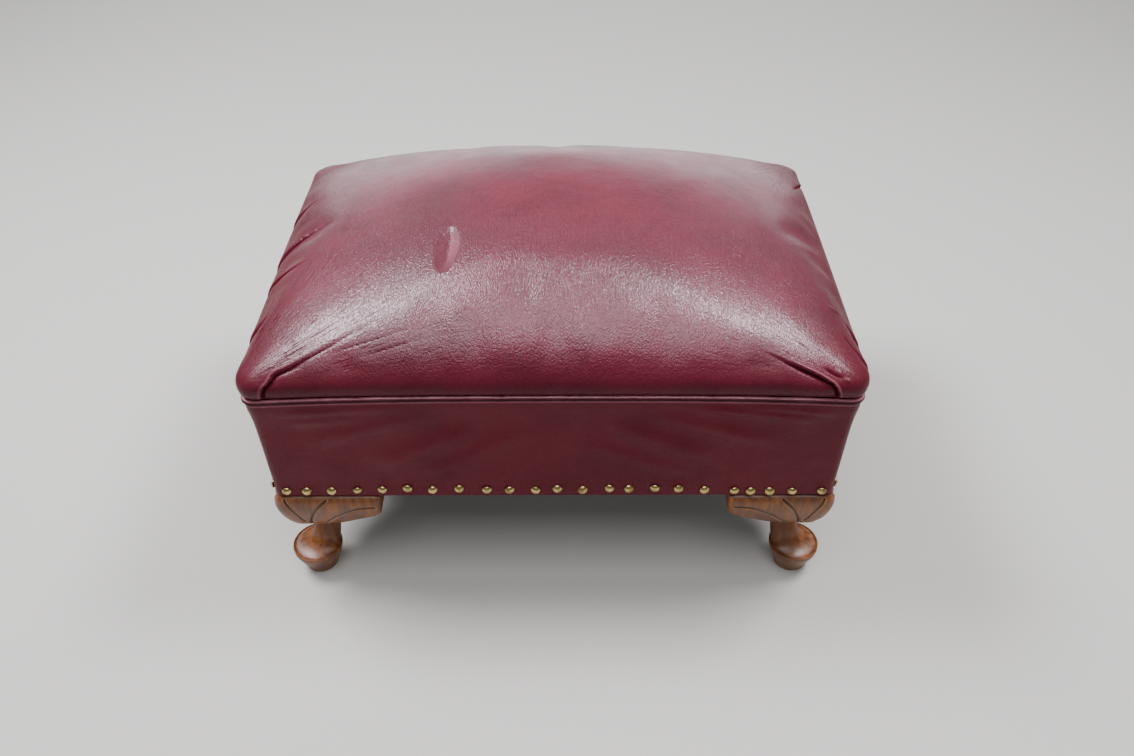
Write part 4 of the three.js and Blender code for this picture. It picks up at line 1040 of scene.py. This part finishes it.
def carved_leg():
    """Points of one leg in its corner's own place, and how deep each lies in a groove (0 to 1)."""
    t = spaced(SPANS, [11])
    half = through(leg_levels(t), spaced(LEVELS, KNEE_ROWS))
    u, drop = half[..., 0], LEG_HEIGHT - half[..., 2]
    carved = (t <= CARVED_TO)[None, :] & (drop < KNEE_DROP)
    cut = np.zeros(u.shape)
    for line in GROOVES:
        distance, _, along = near_flat_line(u, drop, line, GROOVE_POINTS)
        fade = ends_fade(along, GROOVE_FADE, GROOVE_FADE)
        cut = np.maximum(cut, np.clip(1 - distance / GROOVE_HALF, 0, 1) * fade)
    distance, side, _ = near_flat_line(u, drop, GROOVES[1], GROOVE_POINTS)
    back = np.where(side > 0, 1 - np.exp(-distance / SET_BACK_OVER), 0) * (u > SET_BACK_FROM)
    cut, back = np.where(carved, cut, 0), np.where(carved, back, 0)
    steps = np.gradient(half[..., :2], axis=1)
    inwards = unit(np.stack([-steps[..., 1], steps[..., 0]], -1))
    half[..., :2] += inwards * (GROOVE_DEPTH * cut + SET_BACK * back)[..., None]
    other = half[:, -2:0:-1].copy()
    other[..., :2] = other[..., 1::-1]
    return np.concatenate([half, other], 1), np.concatenate([cut, cut[:, -2:0:-1]], 1)


# %% Four legs
# signs of the corner's x and y, and the turn of the leg in degrees
CORNERS = {
    "front_left": (-1, -1, 0), "front_right": (1, -1, 90),
    "back_right": (1, 1, 180), "back_left": (-1, 1, -90),
}
leg_points, leg_cut = carved_leg()
rows, columns = leg_points.shape[:2]
print("points round a leg", columns, "and up it", rows, "with", int((leg_cut > 0).sum()), "in a groove")
leg_caps = [
    np.stack([np.roll(ends, -1), ends, np.full(columns, middle)], -1)[:, ::turn]
    for ends, middle, turn in (
        (np.arange(columns), rows * columns, 1),
        (np.arange(columns) + (rows - 1) * columns, rows * columns + 1, -1),
    )
]
leg_ends = [[FOOT_INSET, FOOT_INSET, 0], [CAP_INSET, CAP_INSET, LEG_HEIGHT]]
for corner, (sign_x, sign_y, turn) in CORNERS.items():
    c, s = round(math.cos(math.radians(turn))), round(math.sin(math.radians(turn)))
    own = np.vstack([leg_points.reshape(-1, 3), leg_ends])
    placed = np.stack([
        sign_x * BAND_HALF[0] + c * own[:, 0] - s * own[:, 1],
        sign_y * BAND_HALF[1] + s * own[:, 0] + c * own[:, 1],
        own[:, 2],
    ], -1)
    faces = [grid_faces(rows, columns, False, True), *leg_caps]
    leg = make_piece(f"leg_carved_{corner}", placed, faces, "show_wood", [f"leg_{corner}"])
    store(leg, "groove", np.append(leg_cut.ravel(), [0, 0]))

# %% [markdown]
# ## Under the leather
# Cotton lies under the leather, then a pad of hair on burlap, and springs on webbing hold all of it
# up. None of it shows from outside, but it is there as it would be made.

# %% Hidden layers
PLATEAU = RAIL_TOP + 26.0
SHEET_INSET, SHEET_LIFT, SHEET_RISE = 4.0, 0.3, (22.0, 85.0)  # the rise lies between these distances inwards
COTTON_FROM, PAD_FROM, SINK_PASSES = 9, 12, 5
BURLAP_STEPS, LINING_STEP = 39, 6
COTTON_DEPTHS, PAD_DEPTH, PAD_LIFT = (2.4, 6.0), 6.8, 1.4
LINING_IN, LINING_OUT, LINING_ROWS = 0.3, 2.8, 24


def closed_layer(outer, inner):
    """Two grids of the same shape, joined round their edges into one closed skin."""
    across, deep = outer.shape[0] - 1, outer.shape[1] - 1
    count = (across + 1) * (deep + 1)
    faces = grid_faces(across + 1, deep + 1)
    rim = edge_ring(across, deep)
    wall = np.stack([rim, rim + count, np.roll(rim, -1) + count, np.roll(rim, -1)], -1)
    return np.vstack([outer.reshape(-1, 3), inner.reshape(-1, 3)]), [faces, faces[:, ::-1] + count, wall]


# %% [markdown]
# ## The burlap
# Burlap is a coarse jute cloth, tacked to the tops of the rails and pushed up by the springs. It
# could be draped with a cloth simulation, but it is held taut, so its height is laid down instead:
# level on the rails, and an even rise from there to the plateau over the springs.

# %% Burlap
def over_springs(steps, lift=0.0):
    """A grid of rings that lies level on the rails and rises to the plateau over the springs."""
    out = np.linspace(-SHEET_INSET, -FRAME_HALF[1], steps + 1)
    foot = RAIL_TOP + SHEET_LIFT
    up = np.interp(-out, [SHEET_INSET, *SHEET_RISE], [foot, foot, PLATEAU]) + lift
    side, level, share = ring_grid(steps, RIDGE)
    half_x, half_y = FRAME_HALF[0] + out[level], FRAME_HALF[1] + out[level]
    radius = np.minimum((FRAME_CORNER - out / 2)[level], half_y)
    plan, _ = rounded_outline(half_x, half_y, radius, side, share)
    return np.concatenate([plan, up[level][..., None]], -1)


burlap = grid_piece("burlap_sheet", over_springs(BURLAP_STEPS), "jute", ["burlap"])
thicken(burlap, 1.0, 1)

# %% [markdown]
# ## Cotton and hair
# A pad of curled hair gives the seat its dome, and a layer of cotton keeps the hairs from coming
# through the leather. Both could be cut from blocks, but copies of the seat's own grid fit better,
# each a little deeper. Where the leather sinks in a fold, they sink with it.

# %% Cotton wadding and stuffing pad
inside_normals = outward_normals((seat_rest + pucker)[coarse])


def lowest_near(field, passes):
    """Each pass gives a point the least value among itself and its neighbours."""
    for _ in range(passes):
        for axis in (0, 1):
            held = np.pad(field, [(1, 1) if a == axis else (0, 0) for a in (0, 1)], mode="edge")
            near = [np.take(held, np.arange(n, n + field.shape[axis]), axis) for n in range(3)]
            field = np.minimum.reduce(near)
    return field


sink = smoothed(np.minimum(lowest_near(lift, SINK_PASSES), 0)[coarse], 1)[..., None]
inside = (seat_rest + pucker)[coarse] + sink * inside_normals
bed = smoothed(inside, 2)
cotton_cut = (slice(COTTON_FROM, -COTTON_FROM),) * 2
cotton_skin = [(bed - depth * inside_normals)[cotton_cut] for depth in COTTON_DEPTHS]
cotton = make_piece("cotton_layer", *closed_layer(*cotton_skin), "cotton", ["cotton_wadding"])

pad_cut = (slice(PAD_FROM, -PAD_FROM),) * 2
pad_top = (bed - PAD_DEPTH * inside_normals)[pad_cut]
pad_base = over_springs((inside.shape[1] - 1) // 2 - PAD_FROM, PAD_LIFT)
pad = make_piece("hair_stuffing", *closed_layer(pad_top, pad_base), "hair", ["stuffing_pad"])

# %% [markdown]
# ## The border padding
# A thin strip of wadding lies between the rails and the band and softens their edges. Like the band
# it is a section carried round the frame, here a flat one with its long sides cut in short steps.

# %% Border padding
lining_top = band_drop - LINING_IN
lining_corners = [
    (LINING_IN, HEEL, 0), (LINING_OUT, HEEL, 0), (LINING_OUT, lining_top, 1), (LINING_IN, lining_top, 1)]
lining_rows = [
    tuple(a + (b - a) * f for a, b in zip(low, high))
    for low, high, count in zip(
        lining_corners, lining_corners[1:] + lining_corners[:1], (1, LINING_ROWS, 1, LINING_ROWS))
    for f in np.arange(count) / count
]
lining_grid = carried(lining_rows, *ring(LINING_STEP), BAND_BOTTOM)[0]
lining = grid_piece("border_padding", lining_grid, "cotton", ["border_wadding"], True)

# %% [markdown]
# ## Webbing
# Five strips of jute webbing are tacked under the rails and woven through one another. Each is flat
# over a crossing and slopes from there, above one strip and below the next.

# %% Webbing
RAIL_WALL, WEB_WIDTH, WEB_THICKNESS, WEB_END, WEB_STEPS, GAP = 22.0, 50.0, 1.0, 10.0, 90, 0.3
ACROSS_PLACES, DEEP_PLACES = (-120.0, 0.0, 120.0), (-65.0, 65.0)
WEAVE = (WEB_THICKNESS + GAP) / 2
WEB_MIDDLE = RAIL_BOTTOM - GAP - WEB_THICKNESS / 2


def webbing(name, half_run, crossings, first, turned, place):
    """A strip along x, or along y if turned: level over each crossing, with even slopes between."""
    flat_half = WEB_WIDTH / 2 + WEB_THICKNESS
    flats = [crossing + half for crossing in crossings for half in (-flat_half, flat_half)]
    at = [-half_run - WEB_END, -half_run, *flats, half_run, half_run + WEB_END]
    up = [0, 0, *(first * (-1) ** (n // 2) for n in range(len(flats))), 0, 0]
    run = np.unique(np.concatenate([np.linspace(at[0], at[-1], WEB_STEPS), at]))
    height = WEB_MIDDLE + WEAVE * np.interp(run, at, up)
    side, low, high = WEB_WIDTH / 2, -WEB_THICKNESS / 2, WEB_THICKNESS / 2
    section = [(-side, low), (-side, high)] + [(side * w, high) for w in (-0.5, 0, 0.5)]
    section += [(side, high), (side, low)] + [(side * w, low) for w in (0.5, 0, -0.5)]
    section = np.array(section)
    points = np.empty((len(run), len(section), 3))
    points[..., 0], points[..., 1] = run[:, None], section[:, 0]
    points[..., 2] = height[:, None] + section[:, 1]
    plan = points[..., :2][..., ::-1] * [-1, 1] if turned else points[..., :2]
    plan = plan + np.array([place, 0] if turned else [0, place])
    points = np.concatenate([plan, points[..., 2:]], -1)
    return make_piece(f"{name}_woven", points, tube_faces(*points.shape[:2]), "jute", [name], True)


half_runs = FRAME_HALF - RAIL_WALL - GAP
for row, place, first in zip(("front", "back"), DEEP_PLACES, (-1, 1)):
    webbing(f"webbing_across_{row}", half_runs[0], ACROSS_PLACES, first, False, place)
for column, place, first in zip(("left", "middle", "right"), ACROSS_PLACES, (-1, 1, -1)):
    webbing(f"webbing_deep_{column}", half_runs[1], DEEP_PLACES, first, True, place)

# %% [markdown]
# ## Springs
# An hourglass spring stands on each crossing of the webbing. Its wire follows a helix whose radius
# shrinks to the waist and whose climb slows at both ends, so that the end turns lie flat.

# %% Springs
TURNS, WIRE, BOTTOM_RADIUS, WAIST_RADIUS, TOP_RADIUS = 5.5, 3.8, 40.0, 25.0, 36.0
WIRE_RINGS, WIRE_SIDES, LEVEL_ENDS = 145, 8, 0.94
SPRING_SEAT = WEB_MIDDLE + WEAVE + WEB_THICKNESS / 2 + GAP


def spring_line(share):
    """The wire's middle: an angle of 5.5 turns times the share, a radius that falls to the waist with
    the square of the distance from it, and a height that eases at both ends."""
    angle = 2 * np.pi * TURNS * share
    end_radius = np.where(share < 0.5, BOTTOM_RADIUS, TOP_RADIUS)
    radius = WAIST_RADIUS + (end_radius - WAIST_RADIUS) * (1 - 2 * share) ** 2
    eased = share - LEVEL_ENDS * np.sin(2 * np.pi * share) / (2 * np.pi)
    rise = PLATEAU - GAP - WIRE - SPRING_SEAT
    up = SPRING_SEAT + WIRE / 2 + rise * eased
    return np.stack([radius * np.cos(angle), radius * np.sin(angle), up], -1)


def spring_wire():
    """Rings square to the line, for one spring at the origin."""
    share = np.linspace(0, 1, WIRE_RINGS)
    middle = spring_line(share)
    heading = unit(spring_line(share + 1e-4) - spring_line(share - 1e-4))
    upwards = unit(np.cross(heading, middle * [1, 1, 0]))
    sideways = np.cross(upwards, heading)
    angle = np.linspace(0, 2 * np.pi, WIRE_SIDES, endpoint=False)
    around = np.cos(angle)[:, None] * sideways[:, None] + np.sin(angle)[:, None] * upwards[:, None]
    return middle[:, None] + WIRE / 2 * around


wire = spring_wire()
for place_y, row in zip(DEEP_PLACES, ("front", "back")):
    for place_x, column in zip(ACROSS_PLACES, ("left", "middle", "right")):
        name = f"spring_{row}_{column}"
        placed = wire + [place_x, place_y, 0]
        make_piece(f"{name}_wire", placed, tube_faces(*wire.shape[:2]), "steel", [name])

# %% [markdown]
# ## The dust cover
# Thin black cambric is tacked under the rails to keep dust in. It hangs a little in the middle.

# %% Dust cover
DUST_INSET, DUST_WALL, DUST_SAG, RIPPLE = 3.0, 0.5, 4.0, 0.5
dust_x, dust_y = FRAME_HALF - DUST_INSET
u, v = np.meshgrid(np.linspace(-1, 1, 97), np.linspace(-1, 1, 65), indexing="ij")
sag = DUST_SAG * (1 - u**4) * (1 - v**4) + RIPPLE * np.sin(9 * u + 3 * v) * (1 - u**2) * (1 - v**2)
dust_grid = np.stack([dust_x * u, dust_y * v, LEG_HEIGHT + GAP - sag], -1)
dust = grid_piece("dust_cloth", dust_grid, "cambric", ["dust_cover"])
thicken(dust, DUST_WALL, 1)

# %% [markdown]
# ## Finishes
# Every finish is made of nodes on the object's own coordinates, in metres, so that a grain keeps
# its real size. Pictures could be used instead, but they would fix one size and one lighting.

# %% Material helpers
class Finish:
    """A material with short ways to add nodes to it. The sizes of noise and cells are in metres."""

    def __init__(self, name, colour, roughness, **sockets):
        self.material = bpy.data.materials.new(name)
        self.material.use_nodes = True
        self.tree = self.material.node_tree
        self.shader = next(node for node in self.tree.nodes if node.type == "BSDF_PRINCIPLED")
        self.coords = self.tree.nodes.new("ShaderNodeTexCoord")
        self.set(self.shader, {"Base Color": (*colour, 1), "Roughness": roughness, **sockets})

    def set(self, node, inputs):
        for socket, value in inputs.items():
            if isinstance(value, bpy.types.NodeSocket):
                self.tree.links.new(value, node.inputs[socket])
            else:
                node.inputs[socket].default_value = value

    def add(self, kind, inputs=(), output=0, **settings):
        node = self.tree.nodes.new(f"ShaderNode{kind}")
        for key, value in settings.items():
            setattr(node, key, value)
        self.set(node, dict(inputs))
        return node.outputs[output]

    def place(self, scale=(1, 1, 1)):
        return self.add("Mapping", {"Vector": self.coords.outputs["Object"], "Scale": scale})

    def noise(self, size, detail=3, rough=0.5, stretch=(1, 1, 1)):
        inputs = {"Vector": self.place(stretch), "Scale": 1 / size, "Detail": detail, "Roughness": rough}
        return self.add("TexNoise", inputs)

    def cells(self, size, vector):
        return self.add("TexVoronoi", {"Vector": vector, "Scale": 1 / size}, feature="DISTANCE_TO_EDGE")

    def map(self, value, low, high, to_low=0.0, to_high=1.0, smooth=True):
        inputs = {"Value": value, "From Min": low, "From Max": high, "To Min": to_low, "To Max": to_high}
        return self.add("MapRange", inputs, interpolation_type="SMOOTHSTEP" if smooth else "LINEAR")

    def math(self, operation, first, second):
        return self.add("Math", {0: first, 1: second}, operation=operation)

    def times(self, first, second):
        return self.math("MULTIPLY", first, second)

    def less(self, first, second):
        return self.math("SUBTRACT", first, second)

    def mix(self, factor, first, second):
        node = self.tree.nodes.new("ShaderNodeMix")
        node.data_type = "RGBA"
        sockets = [s for s in node.inputs if s.type == "RGBA"]
        self.set(node, {"Factor": factor})
        for socket, colour in zip(sockets, (first, second)):
            if isinstance(colour, bpy.types.NodeSocket):
                self.tree.links.new(colour, socket)
            else:
                socket.default_value = (*colour, 1)
        return next(s for s in node.outputs if s.type == "RGBA")

    def value(self, attribute):
        return self.add("Attribute", output=2, attribute_name=attribute)

    def bump(self, height, distance, strength, under=None):
        inputs = {"Height": height, "Distance": distance, "Strength": strength}
        if under is not None:
            inputs["Normal"] = under
        return self.add("Bump", inputs)

    def finish(self, **sockets):
        self.set(self.shader, {name.replace("_", " "): value for name, value in sockets.items()})
        return self.material


def linear(red, green, blue):
    """A display colour, from 0 to 255, as the light it stands for."""
    share = np.array([red, green, blue]) / 255
    light = np.where(share <= 0.04045, share / 12.92, ((share + 0.055) / 1.055) ** 2.4)
    return tuple(light.tolist())


print("mid grey as light:", round(linear(128, 128, 128)[0], 3))

# %% [markdown]
# ## Leather
# The hide is dyed, pressed with a pebble grain and coated, and the coat has cracked where the seat
# is worn. Its shine is a clear coat over a rougher leather, and both take their own relief. Painted shade
# darkens creases, the drawn lines and the low sides, and painted highlights lighten fold edges. The coat
# is lost where this shade is painted: in folds, along the drawn lines and low on the sides.

# %% Leather finish
PEBBLE, CRACKLE, JITTER, RELIEF, UNEVEN = 0.0022, 0.006, 0.0025, 0.00045, 0.0016
RAY_LENGTH, RAY_TURN = 14.0, 27.0  # how fast the drawn lines change along themselves and round a corner


def leather_finish(name, colour, deep, coat, gloss):
    """Pebbled leather: small cells for the grain, larger cells for the crackle, fine lines that run
    to the corners, and a colour that wanders, with painted shade in creases and painted highlights on edges."""
    f = Finish(name, colour, 0.4, **{"Coat Roughness": 0.24, "Specular Tint": (1.0, 0.8, 0.88, 1)})
    jitter = f.add("TexNoise", {"Vector": f.place(), "Scale": 300}, output=1)
    moved = f.add("VectorMath", {0: jitter, "Scale": JITTER}, operation="SCALE")
    warp = f.add("VectorMath", {0: f.place(), 1: moved}, operation="ADD")
    drawn_out = f.add("VectorMath", {0: warp, 1: (1.25, 0.6, 0.6)}, operation="MULTIPLY")
    pebble = f.map(f.cells(PEBBLE, drawn_out), 0, 0.3)
    crackle = f.map(f.cells(CRACKLE, drawn_out), 0, 0.09)
    grain, strength, mark, shade = (f.value(field) for field in ("grain", "pull", "mark", "shade"))

    polar = f.add("CombineXYZ", {"X": f.times(f.value("pull_distance"), RAY_LENGTH),
                                 "Y": f.times(f.value("pull_angle"), RAY_TURN)})
    lines = f.add("TexNoise", {"Vector": polar, "Scale": 1.0, "Detail": 2.0})
    thin = f.map(f.add("Math", {0: f.less(lines, 0.5)}, operation="ABSOLUTE"), 0, 0.022)
    drawn = f.times(f.less(1.0, thin), strength)

    tone = f.mix(f.map(f.noise(0.09, 4, 0.6), 0.35, 0.7), colour, deep)
    # painted shade low on the sides, near the seat line
    tone = f.mix(f.map(shade, 0, 1, 0, 0.5), tone, linear(74, 30, 37))
    tone = f.mix(f.times(f.less(1.0, crackle), f.times(grain, 0.5)), tone, linear(58, 10, 20))
    # painted shade along the fine drawn lines
    tone = f.mix(f.times(drawn, 0.7), tone, linear(60, 12, 22))
    # painted shade where the mark is below zero, and a painted highlight where it is above
    tone = f.mix(f.map(mark, -0.1, -1.0, 0, 0.85), tone, linear(30, 5, 10))
    tone = f.mix(f.map(mark, 0.15, 1.0, 0, 0.75), tone, linear(184, 112, 124))

    dulled = f.math("ADD", f.map(mark, -0.1, -0.8, 0, 0.9), f.times(drawn, 0.9))
    dulled = f.math("ADD", dulled, f.map(shade, 0, 1, 0, 0.85))
    shine = f.add("Math", {0: 1.0, 1: dulled}, operation="SUBTRACT", use_clamp=True)

    relief = f.times(pebble, f.map(grain, 0, 1, 0.35, 1.0, False))
    relief = f.math("ADD", relief, f.times(crackle, f.times(grain, 0.7)))
    relief = f.less(relief, f.times(drawn, 1.2))
    uneven = f.bump(f.noise(0.014, 3), UNEVEN, 0.35, f.bump(relief, RELIEF, 0.9))
    return f.finish(Base_Color=tone, Roughness=f.map(f.noise(0.03, 3), 0.3, 0.7, 0.32, 0.44), Normal=uneven,
                    Coat_Weight=f.times(shine, coat), Coat_Normal=f.bump(relief, RELIEF, 0.3),
                    Specular_IOR_Level=f.times(shine, gloss))


# %% [markdown]
# ## Wood, metal and the hidden stuffs
# The legs are stained and waxed, so their streaks are soft; painted shade fills the grooves and a painted
# highlight runs along their rims. The other stuffs need only two colours and a little relief each, as few
# will see them.

# %% Wood, metal and the hidden stuffs
def carved_finish():
    """Stained hardwood: streaks along the grain, painted shade in the grooves and a painted highlight on
    their rims.
    """
    f = Finish("carved_wood", linear(116, 72, 32), 0.4, **{"Coat Weight": 0.1, "Coat Roughness": 0.25})
    streaks = f.noise(0.006, 4, 0.55, stretch=(1, 1, 0.15))
    pores = f.map(f.noise(0.0012, 2, stretch=(1, 1, 0.05)), 0.62, 0.74)
    base = f.mix(f.map(streaks, 0.3, 0.7), linear(92, 48, 17), linear(136, 80, 30))
    blotch = f.mix(f.map(f.noise(0.035, 3), 0.42, 0.68, 0, 0.55), base, linear(74, 42, 20))
    groove = f.value("groove")
    # painted highlight along the rims of the grooves
    rim = f.less(f.map(groove, 0.02, 0.16), f.map(groove, 0.16, 0.45))
    rim_highlighted = f.mix(f.times(rim, 0.55), blotch, linear(178, 136, 88))
    # painted shade in the grooves
    groove_shaded = f.mix(f.map(groove, 0.3, 0.85, 0, 0.85), rim_highlighted, linear(34, 17, 9))
    porous = f.mix(f.times(pores, 0.22), groove_shaded, linear(36, 18, 10))
    bump = f.bump(f.less(streaks, f.times(pores, 0.3)), 0.0003, 0.4)
    return f.finish(Base_Color=porous, Roughness=f.map(streaks, 0.3, 0.7, 0.34, 0.48), Normal=bump)


def plain_wood_finish():
    """Unfinished hardwood for the rails: fine streaks along them."""
    f = Finish("frame_wood", linear(196, 158, 110), 0.7)
    streaks = f.noise(0.003, 5, 0.6, stretch=(0.1, 1, 1))
    colour = f.mix(f.map(streaks, 0.35, 0.65), linear(182, 142, 94), linear(214, 180, 134))
    return f.finish(Base_Color=colour, Normal=f.bump(streaks, 0.0004, 0.5))


def metal_finish(name, colour, dull, roughness, size):
    """Metal with duller, rougher stains of the size given."""
    f = Finish(name, colour, roughness, Metallic=1.0)
    stain = f.map(f.noise(size, 4, 0.6), 0.4, 0.7)
    return f.finish(Base_Color=f.mix(stain, colour, dull), Normal=f.bump(f.noise(size / 4, 2), 0.00015, 0.4),
                    Roughness=f.map(stain, 0, 1, roughness, roughness + 0.25))


def woven_finish(name, colour, dark, thread):
    """Threads both ways: two sine waves across each other, one for warp and one for weft."""
    f = Finish(name, colour, 0.9)
    split = f.add("SeparateXYZ", {"Vector": f.place((2 * math.pi / thread,) * 3)}).node.outputs
    warp, weft = (f.add("Math", {0: split[way]}, operation="SINE") for way in (0, 1))
    weave = f.times(warp, weft)
    tone = f.math("ADD", f.map(weave, -1, 1, 0.2, 0.8), f.map(f.noise(thread * 3, 3), 0.3, 0.7, -0.2, 0.2))
    return f.finish(Base_Color=f.mix(tone, dark, colour), Normal=f.bump(weave, thread * 0.25, 0.8))


def soft_finish(name, colour, dark, size):
    """A mat of fibres, or card: a fine noise in colour and relief."""
    f = Finish(name, colour, 0.95)
    fibres = f.noise(size, 6, 0.7)
    tone = f.mix(f.map(fibres, 0.35, 0.65), dark, colour)
    return f.finish(Base_Color=tone, Normal=f.bump(fibres, size * 0.4, 0.8))


FINISHES = {
    "leather": leather_finish("seat_leather", linear(98, 21, 41), linear(80, 15, 31), 0.85, 0.42),
    "show_wood": carved_finish(),
    "frame_wood": plain_wood_finish(),
    "steel": metal_finish("steel", linear(140, 143, 146), linear(92, 84, 78), 0.4, 0.01),
    "brass": metal_finish("aged_brass", linear(196, 174, 116), linear(134, 114, 68), 0.24, 0.008),
    "jute": woven_finish("jute", linear(166, 136, 90), linear(108, 84, 50), 0.0024),
    "cotton": soft_finish("cotton", linear(228, 222, 206), linear(202, 194, 174), 0.004),
    "hair": soft_finish("hair", linear(98, 86, 76), linear(58, 48, 42), 0.003),
    "cambric": woven_finish("cambric", linear(40, 40, 46), linear(24, 24, 28), 0.0009),
    "card": soft_finish("card", linear(184, 168, 132), linear(168, 150, 114), 0.006),
}
BAND_FINISH = leather_finish("band_leather", linear(96, 24, 38), linear(85, 20, 32), 0.02, 0.12)
slot_of = {part["node"]: part["material_slot"] for part in frame["record"]["subparts"]}


def paint(piece, material):
    piece.data.materials.clear()
    piece.data.materials.append(material)


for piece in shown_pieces():
    paint(piece, FINISHES[piece.get("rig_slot") or slot_of.get(piece.name)])
paint(band, BAND_FINISH)

# %% [markdown]
# ## Floor and light
# A plain pale floor and soft light show the leather's sheen without a room in it. Two large lamps
# stand where the seat's front corners mirror them into the camera.

# %% Floor and light
bpy.ops.mesh.primitive_plane_add(size=8, location=(0, 0, 0))
floor = bpy.context.object
floor.name = "floor"
ground = Finish("floor_paint", linear(188, 188, 182), 0.85)
floor.data.materials.append(ground.finish())

world = bpy.data.worlds.new("studio")
bpy.context.scene.world = world
world.use_nodes = True
backdrop = next(node for node in world.node_tree.nodes if node.type == "BACKGROUND")
backdrop.inputs["Color"].default_value = (0.94, 0.96, 1.0, 1)
backdrop.inputs["Strength"].default_value = 0.22
LAMP_COLOUR = (0.98, 0.95, 1.0)


def lamp(name, place, aim, sizes, power):
    """A rectangular area lamp turned towards a point."""
    data = bpy.data.lights.new(name, "AREA")
    data.shape, data.energy, data.color = "RECTANGLE", power, LAMP_COLOUR
    data.size, data.size_y = sizes
    body = bpy.data.objects.new(name, data)
    bpy.context.scene.collection.objects.link(body)
    body.location = place
    heading = mathutils.Vector(aim) - mathutils.Vector(place)
    body.rotation_euler = heading.to_track_quat("-Z", "Y").to_euler()


lamp("left_overhead", (-1.15, 0.35, 2.0), (-0.19, -0.15, 0.33), (0.9, 0.7), 72)
lamp("right_overhead", (1.05, 0.25, 2.1), (0.17, -0.15, 0.33), (0.7, 0.6), 52)
lamp("middle_overhead", (0.0, -0.9, 2.45), (0, -0.1, 0.3), (2.0, 1.4), 36)
lamp("low_behind", (0, 2.4, 0.55), (0, 0, 0.3), (3.4, 1.1), 19)
print("lights", [light.name for light in bpy.data.lights])

# %% [markdown]
# ## Where the camera stands
# The camera stands where the photograph was taken from. Its place, lens, pitch and roll were fitted
# to the seat line, the bottom edge of the band, the brackets and the feet.

# %% Camera
view = bpy.data.cameras.new("view")
view.lens, view.sensor_width = 29.37, 36.0
camera = bpy.data.objects.new("camera", view)
bpy.context.scene.collection.objects.link(camera)
camera.location = (0.01342, -0.82385, 0.88365)
pitch, roll = math.radians(90 - 42.857), math.radians(-0.143)
turned = mathutils.Matrix.Rotation(pitch, 3, "X") @ mathutils.Matrix.Rotation(roll, 3, "Z")
camera.rotation_euler = turned.to_euler()
bpy.context.scene.camera = camera
print("camera at", tuple(camera.location), "lens", view.lens)
